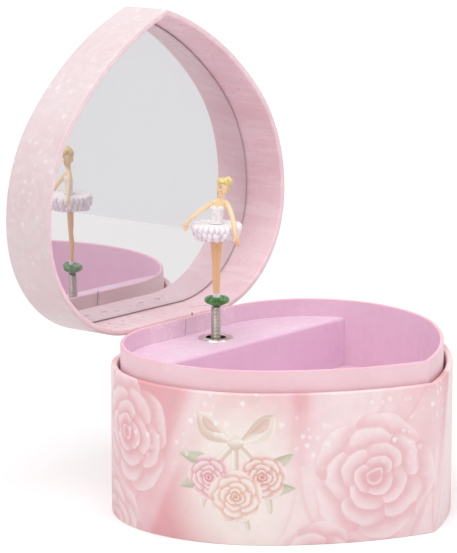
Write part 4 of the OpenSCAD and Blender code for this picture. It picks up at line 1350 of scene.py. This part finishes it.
def skin_over(name, build, voxel, smooth):
    """Melts rolls and balls into one skin and returns it in the figure's own axes."""
    work = bmesh.new()
    build(work)
    bmesh.ops.recalc_face_normals(work, faces=work.faces)
    mesh = bpy.data.meshes.new(name)
    work.to_mesh(mesh)
    work.free()
    piece = bpy.data.objects.new(name, mesh)
    scene.collection.objects.link(piece)
    melt = piece.modifiers.new("melt", "REMESH")
    melt.mode, melt.voxel_size = "VOXEL", voxel
    ease = piece.modifiers.new("ease", "SMOOTH")
    ease.factor, ease.iterations = 0.5, smooth
    for polygon in bake(piece).polygons:
        polygon.use_smooth = True
    return piece


def keep_place(piece):
    """Stores each point's place on the figure as an attribute, then stands the figure on the post."""
    mesh = piece.data
    spots = mesh.attributes.new("figure", "FLOAT_VECTOR", "POINT")
    flat = [c for v in mesh.vertices for c in v.co]
    spots.data.foreach_set("vector", flat)
    mesh.transform(STAND)
    mesh.update()
    return piece


def at(height):
    """Height above the stage to height above the table."""
    return STAGE_Z + height


def build_skin(work):
    """Legs, chest, arms, hands, neck and head."""
    # legs pressed together, tapering to the ankle
    for side in (-1, 1):
        roll(work, [(0.35 + side * 0.75, -0.1, at(20.0), 0.85, 0.95),
                    (0.3 + side * 0.75, 0.0, at(23.5), 0.8, 0.95),
                    (0.3 + side * 0.82, 0.25, at(28.5), 1.0, 1.3),
                    (0.3 + side * 0.85, 0.2, at(32), 1.05, 1.3),
                    (0.35 + side * 0.85, -0.05, at(35.5), 1.05, 1.2),
                    (0.4 + side * 1.1, 0.0, at(40), 1.35, 1.5),
                    (0.45 + side * 1.35, 0.1, at(46.5), 1.6, 1.75),
                    (0.5 + side * 1.4, 0.1, at(50), 1.7, 1.8)])
    # chest and shoulders
    roll(work, [(0.5, 0, at(52), 2.4, 1.7), (0.55, 0, at(56.5), 2.1, 1.5), (0.7, -0.1, at(60), 2.7, 1.8),
                (1.2, -0.05, at(63.2), 3.2, 1.8), (1.8, 0.0, at(65.2), 2.9, 1.45)])
    roll(work, [(-1.6, 0, at(64.8), 1.35, 1.25), (1.8, 0, at(65.7), 1.6, 1.35),
                (5.1, -0.1, at(64.7), 1.4, 1.3)])
    # neck leans with the turned head
    roll(work, [(1.9, 0.1, at(64.8), 1.9, 1.4), (2.6, 0.0, at(67.2), 1.4, 1.25),
                (3.1, -0.1, at(69.4), 1.4, 1.4)])
    # left arm, held out and down
    roll(work, [(-1.7, 0, at(64.5), 1.3, 1.2), (-4.6, -0.2, at(62.8), 1.16, 1.14),
                (-7.9, -0.6, at(60.4), 1.08, 1.05),
                (-10.6, -0.9, at(58.4), 1.0, 0.98), (-12.4, -1.1, at(57.0), 0.8, 0.8)])
    roll(work, [(-12.4, -1.1, at(57.0), 0.8, 0.8), (-13.6, -1.2, at(55.3), 1.1, 0.72),
                (-14.2, -1.3, at(53.8), 1.1, 0.6)])
    for finger, length in ((-0.75, 1.6), (-0.25, 2.0), (0.25, 1.9), (0.72, 1.4)):
        roll(work, [(-14.2 + finger * 0.9, -1.3 + abs(finger) * 0.1, at(53.9), 0.34, 0.34),
                    (-14.3 + finger * 1.1, -1.35, at(53.8 - length * 0.6), 0.31, 0.31),
                    (-14.0 + finger * 1.1, -1.6, at(53.8 - length), 0.28, 0.28)], 10)
    roll(work, [(-13.2, -1.3, at(55.6), 0.36, 0.36), (-12.5, -1.7, at(54.3), 0.3, 0.3),
                (-12.6, -2.0, at(53.4), 0.25, 0.25)], 10)
    # right arm, bent forward over the skirt
    roll(work, [(5.1, -0.1, at(64.6), 1.35, 1.25), (6.5, -2.2, at(62.2), 1.26, 1.2),
                (7.6, -4.6, at(59.4), 1.18, 1.12),
                (8.3, -6.8, at(56.6), 1.1, 1.06), (8.9, -8.9, at(53.4), 1.0, 0.98),
                (9.2, -10.0, at(51.4), 0.82, 0.82)])
    roll(work, [(9.2, -10.0, at(51.4), 0.82, 0.8), (9.6, -10.5, at(49.8), 1.12, 0.72),
                (10.0, -10.6, at(48.2), 1.12, 0.6)])
    for finger, length in ((-0.75, 1.7), (-0.25, 2.1), (0.25, 2.0), (0.72, 1.5)):
        roll(work, [(10.0 + finger * 0.9, -10.6, at(48.3), 0.34, 0.34),
                    (10.2 + finger, -10.7, at(48.2 - length * 0.6), 0.31, 0.31),
                    (10.5 + finger, -10.6, at(48.2 - length), 0.28, 0.28)], 10)
    roll(work, [(8.9, -10.5, at(50.4), 0.42, 0.42), (8.6, -11.2, at(49.2), 0.36, 0.36),
                (8.7, -11.4, at(48.3), 0.3, 0.3)], 10)
    # head, turned to her right: skull, jaw, chin, cheeks, nose, lips, brow, ear
    ball(work, 3.3, -0.2, at(72.6), 2.7, 2.7, 2.9)
    ball(work, 3.3, -0.9, at(70.5), 1.95, 1.7, 1.7)
    ball(work, 2.4, -0.9, at(70.3), 1.75, 1.75, 1.9, 0.25)
    ball(work, 1.75, -1.2, at(68.7), 0.95, 0.9, 0.8)
    ball(work, 2.4, -2.0, at(70.9), 1.1, 0.9, 1.0)
    roll(work, [(1.25, -1.95, at(72.4), 0.28, 0.3), (0.72, -2.2, at(71.5), 0.34, 0.38),
                (0.5, -2.25, at(70.95), 0.42, 0.42)], 12)
    ball(work, 0.95, -1.9, at(70.05), 0.42, 0.55, 0.24)
    ball(work, 1.05, -1.8, at(69.65), 0.42, 0.5, 0.26)
    roll(work, [(0.95, -2.35, at(73.25), 0.3, 0.24), (1.9, -2.65, at(73.5), 0.32, 0.25),
                (2.8, -2.6, at(73.3), 0.28, 0.24)], 12)
    ball(work, 4.5, -1.9, at(71.5), 0.35, 0.5, 0.75, 0.2)


VOXEL = 0.17
dancer_skin = skin_over("dancer_skin", build_skin, VOXEL, 3)
keep_place(dancer_skin)
print("figure skin points:", len(dancer_skin.data.vertices))

# %% [markdown]
# ## Dancer: bodice, shoes and hair
#
# The bodice has a heart-shaped neckline, moulded with the figure and painted white. The shoes are
# two white points in the leaf. The hair is swept back from the brow into a bun high on the side.

# %% Bodice, shoes, hair
def build_bodice(work):
    """The bodice with its two cups, and the trim at the waist."""
    roll(work, [(0.5, 0, at(50.5), 2.7, 2.1), (0.5, 0, at(53.5), 2.65, 2.0), (0.5, 0, at(56.0), 2.55, 1.85),
                (0.55, -0.1, at(58.6), 2.95, 2.1), (0.6, -0.15, at(61.0), 3.4, 2.25),
                (0.75, -0.1, at(62.5), 3.6, 2.1)], 28)
    ball(work, -1.15, -1.35, at(62.4), 1.75, 1.35, 1.5)
    ball(work, 2.35, -1.35, at(62.2), 1.75, 1.35, 1.45)
    # gathered trim round the waist
    for k in range(14):
        a = 2 * math.pi * k / 14
        ball(work, 0.5 + 2.9 * math.cos(a), 2.2 * math.sin(a), at(55.3), 0.62, 0.62, 0.45)


def build_shoes(work):
    """Two pointed shoes with their straps."""
    for side in (-1, 1):
        roll(work, [(0.35 + side * 0.9, -0.2, at(21.1), 1.02, 1.12),
                    (0.35 + side * 0.86, -0.4, at(20.2), 1.02, 1.14),
                    (0.3 + side * 0.8, -0.5, at(19.3), 0.95, 1.05),
                    (0.3 + side * 0.75, -0.5, at(18.6), 0.8, 0.85)])
        roll(work, [(0.35 + side * 1.8, -0.5, at(21.2), 0.2, 0.25),
                    (0.35 + side * 0.95, -1.25, at(21.4), 0.22, 0.22),
                    (0.35 + side * 0.05, -0.9, at(21.8), 0.2, 0.25)], 10)


def build_hair(work):
    """Hair over the crown and nape, the front roll and the bun."""
    ball(work, 3.7, 0.35, at(74.0), 2.85, 2.85, 2.9)
    ball(work, 4.8, 0.9, at(71.6), 1.85, 2.0, 2.4)
    ball(work, 5.0, -0.1, at(73.2), 1.7, 2.0, 1.8)
    # the front hair is combed up from the brow in a soft roll
    roll(work, [(1.1, -1.6, at(74.7), 0.75, 0.9), (2.2, -2.1, at(75.4), 0.95, 1.1),
                (3.8, -2.1, at(75.2), 0.95, 1.1),
                (5.4, -1.4, at(73.9), 0.75, 0.9)])
    ball(work, 2.3, -0.8, at(75.3), 1.75, 1.7, 1.6)
    # bun, a broad coil set high on the side
    roll(work, [(4.6, 0.1, at(74.7), 2.3, 2.2), (6.0, 0.2, at(75.0), 2.2, 2.2),
                (7.0, 0.2, at(75.35), 1.8, 1.8)])
    for k in range(4):
        turn = 0.5 + k * 0.95
        roll(work, [(5.4 + 0.5 * k, 2.25 * math.cos(turn + a), at(75.0 + 2.1 * math.sin(turn + a)), 0.32,
                     0.32)
                    for a in (-1.2, -0.6, 0.0, 0.6, 1.2)], 10)


dancer_bodice = skin_over("dancer_bodice", build_bodice, VOXEL, 2)
dancer_shoes = skin_over("dancer_shoes", build_shoes, VOXEL, 2)
dancer_hair = skin_over("dancer_hair", build_hair, VOXEL, 2)
for piece in (dancer_bodice, dancer_shoes, dancer_hair):
    keep_place(piece)

# %% [markdown]
# ## Dancer: paint
#
# The vinyl is tinted skin colour, warmer on the legs, and shows faint wax mottling.
# Her face is painted on: arched brows, closed eyes with lashes, a touch of blush and small lips.
# Paint goes where a point lies on the figure, so it stays put when she turns.

# %% Figure paints
def figure_place(bench):
    """The place of a point on the figure in mm, as stored by keep_place."""
    node = bench.add("ShaderNodeAttribute", attribute_name="figure")
    return node.outputs["Vector"]


def dab(bench, spot, centre, size):
    """A soft-edged dab of paint: 1 inside an egg at `centre`, in figure mm."""
    away = bench.vector("DIVIDE", bench.vector("SUBTRACT", spot, centre), size)
    return bench.math("SUBTRACT", 1.0, bench.remap(bench.vector("LENGTH", away), 0.65, 1.0))


skin_paint, bench, shader = finish_material("figure_skin")
spot = figure_place(bench)
_, _, height = bench.split(spot)
wax = bench.remap(bench.noise(spot, 0.9, 4, 0.6), 0.35, 0.7)
leg = bench.math("SUBTRACT", 1.0, bench.remap(height, at(46), at(56)))
colour = bench.mix(leg, SRGB(247, 218, 176), SRGB(238, 196, 144))
colour = bench.mix(bench.math("MULTIPLY", wax, 0.3), colour, SRGB(240, 204, 154))
for centre, size, tone, amount in (
        ((2.6, -2.9, at(70.9)), (0.9, 0.8, 0.7), SRGB(232, 140, 120), 0.5),
        ((0.8, -2.3, at(69.85)), (0.55, 0.75, 0.36), SRGB(196, 78, 76), 0.9),
        ((2.25, -2.8, at(73.45)), (0.95, 0.8, 0.16), SRGB(132, 92, 52), 0.85),
        ((2.2, -2.85, at(72.35)), (0.72, 0.8, 0.22), SRGB(74, 50, 40), 0.9),
        ((2.2, -2.85, at(72.75)), (0.8, 0.8, 0.3), SRGB(160, 176, 190), 0.45),
        ((1.0, -2.5, at(72.4)), (0.22, 0.6, 0.2), SRGB(74, 50, 40), 0.8)):
    colour = bench.mix(bench.math("MULTIPLY", dab(bench, spot, centre, size), amount), colour, tone)
bench.join(colour, shader["Base Color"])
bench.join(bench.math("MULTIPLY_ADD", wax, 0.1, 0.3), shader["Roughness"])
shader["Subsurface Weight"].default_value = 0.12
shader["Subsurface Radius"].default_value = (0.9, 0.4, 0.2)
shader["Subsurface Scale"].default_value = 0.0008
shader["Coat Weight"].default_value = 0.25
shader["Coat Roughness"].default_value = 0.2
bench.join(bench.bump(bench.noise(spot, 3.2, 3, 0.6), 0.15, 0.0001), shader["Normal"])


def figure_paint(name, body, shade_colour, scale, stretch, rough, relief):
    """Thin brushed paint on the figure, with its grain drawn out along `stretch`."""
    material, bench, shader = finish_material(name)
    spot = figure_place(bench)
    grain = bench.noise(bench.vector("MULTIPLY", spot, stretch), scale, 4, 0.6)
    tone = bench.remap(grain, 0.36, 0.66)
    bench.join(bench.mix(tone, shade_colour, body), shader["Base Color"])
    bench.join(bench.math("MULTIPLY_ADD", tone, -0.1, rough + 0.06), shader["Roughness"])
    shader["Coat Weight"].default_value = 0.2
    shader["Coat Roughness"].default_value = 0.25
    bench.join(bench.bump(grain, relief, 0.0002), shader["Normal"])
    return material


hair_paint = figure_paint("figure_hair", SRGB(242, 227, 158), SRGB(214, 186, 106), 1.6, (0.5, 1.0, 3.0),
                          0.34, 0.6)
white_paint = figure_paint("figure_white", SRGB(250, 248, 247), SRGB(232, 226, 230), 0.8, (1.0, 1.0, 0.5),
                           0.36, 0.25)
for piece, material, node_name, part in (
        (dancer_skin, skin_paint, "dancer_figure", "figure_paint"),
        (dancer_bodice, white_paint, "dancer_bodice", "tutu_white"),
        (dancer_shoes, white_paint, "dancer_shoes", "tutu_white"),
        (dancer_hair, hair_paint, "dancer_hair", "hair_paint")):
    piece.data.materials.clear()
    piece.data.materials.append(material)
    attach(piece, "dancer")
    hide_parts(node_name)
print("dancer pieces:", [o.name for o in (dancer_skin, dancer_bodice, dancer_shoes, dancer_hair)])

# %% [markdown]
# ## Tutu
#
# Three tiers of stiff white net stand out from the waist, each gathered into plump flutes. A tier
# is a closed roll of section points carried round the waist; the flutes swell between pinched
# gathers, and their depth grows from the waist to the rim. How deep a point lies in a gather is
# stored as an attribute, so the paint can put soft lilac shade there. The net gives way where her
# right arm passes over it.

# %% Gathered tiers
ARM_WAY = math.atan2(-8.8, 8.2)


def tier(name, rim, top, low, gathers, seed, swell, droop):
    """One closed tier: `rim` is its reach, `top` and `low` its heights over the stage, in mm."""
    drawn_in = [(1.5, top + 0.2, 0.0), (4.4, top - 0.1, 0.25), (rim * 0.62, top - 0.1, 0.55),
                (rim * 0.84, top + 0.15, 0.85),
                (rim * 0.95, top - 0.1, 1.0), (rim, (top * 0.62 + low * 0.38), 1.0),
                (rim * 0.99, (top * 0.25 + low * 0.75), 1.0),
                (rim * 0.93, low, 1.0), (rim * 0.82, low + 0.35, 0.9), (rim * 0.6, low + 0.6, 0.5),
                (1.5, low + 0.9, 0.0)]
    around = 480
    vertices, faces, depth = [], [], []
    for reach, height, free in drawn_in:
        for s in range(around):
            a = 2 * math.pi * s / around
            warped = a + 0.055 * math.sin(4 * a + seed) + 0.03 * math.sin(9 * a + 2 * seed)
            puff = abs(math.sin(gathers * warped / 2 + seed)) ** 0.62
            puff *= 0.86 + 0.14 * math.sin(5 * a + 3.1 * seed)
            slow = math.sin(3 * a + 1.7 * seed)
            give = 1 - 0.17 * free * math.exp(-((math.remainder(a - ARM_WAY, 2 * math.pi) / 0.17) ** 2))
            radius = (reach + swell * free * (puff - 0.55)) * give
            hang = droop * free * (puff - 0.4) if height < (top + low) / 2 else -0.35 * free * (puff - 0.6)
            vertices.append((0.4 + radius * math.cos(a), radius * math.sin(a),
                             at(height - hang + 0.22 * slow * free)))
            depth.append(1 - free * (1 - puff))
    total = len(drawn_in)
    for k in range(total):
        after = (k + 1) % total
        for s in range(around):
            t = (s + 1) % around
            faces.append((k * around + s, k * around + t, after * around + t, after * around + s))
    piece = outward(new_piece(name, vertices, faces))
    ease = piece.modifiers.new("ease", "SUBSURF")
    ease.levels = ease.render_levels = 1
    kept = piece.data.attributes.new("gather", "FLOAT", "POINT")
    kept.data.foreach_set("value", depth)
    for polygon in bake(piece).polygons:
        polygon.use_smooth = True
    return piece


tutu_tiers = [
    tier("tutu_top", 11.7, 54.9, 51.5, 23, 0.4, 0.9, 0.8),
    tier("tutu_middle", 11.3, 52.7, 49.5, 21, 1.9, 0.95, 0.9),
    tier("tutu_lower", 10.4, 50.8, 47.9, 22, 3.3, 0.9, 0.9),
]
net, bench, shader = finish_material("white_net")
spot = figure_place(bench)
x, y, z = bench.split(spot)
round_way = bench.math("ARCTAN2", y, bench.math("SUBTRACT", x, 0.4))
reach = bench.math("SQRT", bench.math("ADD", bench.math("MULTIPLY", x, x), bench.math("MULTIPLY", y, y)))
weave = bench.math("MULTIPLY", bench.math("SINE", bench.math("MULTIPLY", round_way, 300)),
                   bench.math("SINE", bench.math("MULTIPLY", reach, 20)))
pleat = bench.noise(bench.combine(bench.math("MULTIPLY", round_way, 11),
                                  bench.math("MULTIPLY", reach, 0.25), bench.math("MULTIPLY", z, 0.3)),
                    1.0, 3, 0.6)
gather = bench.add("ShaderNodeAttribute", attribute_name="gather").outputs["Fac"]
# painted shade: soft lilac deep in the gathers, then a lighter lilac where the pleat noise is low
colour = bench.mix(bench.remap(gather, 0.1, 0.75), SRGB(224, 212, 226), SRGB(254, 252, 252))
colour = bench.mix(bench.math("MULTIPLY", bench.math("SUBTRACT", 1.0, bench.remap(pleat, 0.34, 0.6)), 0.22),
                   colour, SRGB(230, 220, 230))
bench.join(colour, shader["Base Color"])
bench.join(bench.remap(pleat, 0.3, 0.7, 0.4, 0.55), shader["Roughness"])
shader["Sheen Weight"].default_value = 0.15
shader["Subsurface Weight"].default_value = 0.2
shader["Subsurface Scale"].default_value = 0.0008
bench.join(bench.bump(bench.math("ADD", weave, bench.math("MULTIPLY", pleat, 3.0)), 0.2, 0.00006),
           shader["Normal"])
for layer in tutu_tiers:
    keep_place(layer)
    layer.data.materials.append(net)
    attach(layer, "dancer")
    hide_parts("dancer_tutu")
print("tutu triangles:", sum(len(t.data.polygons) * 2 for t in tutu_tiers))

# %% [markdown]
# ## Leaf pad
#
# Under her shoes sits a glossy green plastic leaf, a plump heart with its notch to the front. It
# is injection moulded with a hollow top, and its stem plugs the spring.

# %% Leaf pad
def pad_reach(angle):
    """Radius of the leaf in mm at a direction, counted from +X; the notch looks towards -Y."""
    off = (angle + math.pi / 2 + math.pi) % (2 * math.pi) - math.pi
    notch = math.exp(-(off / 0.36) ** 2)
    point = math.exp(-((abs(off) - math.pi) / 0.5) ** 2)
    return 5.75 - 0.25 * math.cos(2 * off) - 2.3 * notch + 0.1 * point


def lobe_lift(angle, share):
    """The two lobes beside the notch stand a little proud, as on a plump heart."""
    off = (angle + math.pi / 2 + math.pi) % (2 * math.pi) - math.pi
    lobe = math.exp(-((abs(off) - 1.0) / 0.5) ** 2)
    return 0.55 * lobe * max(0.0, math.sin(math.pi * min(1.0, share) ** 1.4))


pad_profile = [(0.0, 0.0), (0.34, 0.0), (0.42, 0.4), (0.6, 1.05), (0.84, 1.75), (0.96, 2.4), (1.0, 3.1),
               (0.98, 3.75), (0.91, 4.3),
               (0.8, 4.65), (0.68, 4.7), (0.56, 4.4), (0.46, 4.0), (0.3, 3.7), (0.0, 3.65)]
turns = 96
vertices, faces = [(0.0, 0.0, SPRING_TOP)], []
for k, (share, up) in enumerate(pad_profile[1:-1]):
    for s in range(turns):
        a = 2 * math.pi * s / turns
        blend_round = min(1.0, share / 0.8)
        radius = share * (pad_reach(a) * blend_round + 5.3 * (1 - blend_round))
        lift = lobe_lift(a, share) if k > 4 else 0.0
        vertices.append((0.55 + radius * math.cos(a), radius * math.sin(a), SPRING_TOP + up + lift))
vertices.append((0.55, 0.0, SPRING_TOP + pad_profile[-1][1]))
rings = len(pad_profile) - 2
for s in range(turns):
    t = (s + 1) % turns
    faces.append((0, 1 + t, 1 + s))
    for k in range(rings - 1):
        faces.append((1 + k * turns + s, 1 + k * turns + t, 1 + (k + 1) * turns + t, 1 + (k + 1) * turns + s))
    faces.append((1 + (rings - 1) * turns + s, 1 + (rings - 1) * turns + t, len(vertices) - 1))
leaf_pad = new_piece("leaf_pad", vertices, faces)
outward(leaf_pad)
shade(leaf_pad, 70)
keep_place(leaf_pad)
leaf_green, bench, shader = finish_material("leaf_green")
spot = figure_place(bench)
flow = bench.remap(bench.noise(spot, 0.55, 4, 0.6, 1.0), 0.34, 0.68)
ribs = bench.math("SINE", bench.math("MULTIPLY", bench.math("ARCTAN2", bench.split(spot)[1],
                                                            bench.split(spot)[0]), 18))
bench.join(bench.mix(flow, SRGB(34, 100, 34), SRGB(80, 156, 66)), shader["Base Color"])
bench.join(bench.math("MULTIPLY_ADD", flow, 0.14, 0.2), shader["Roughness"])
shader["Coat Weight"].default_value = 0.5
shader["Coat Roughness"].default_value = 0.14
bench.join(bench.bump(bench.math("ADD", flow, bench.math("MULTIPLY", ribs, 0.4)), 0.25, 0.0001),
           shader["Normal"])
leaf_pad.data.materials.append(leaf_green)
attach(leaf_pad, "dancer")
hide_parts("dancer_pad")
print("leaf pad faces:", len(leaf_pad.data.polygons))
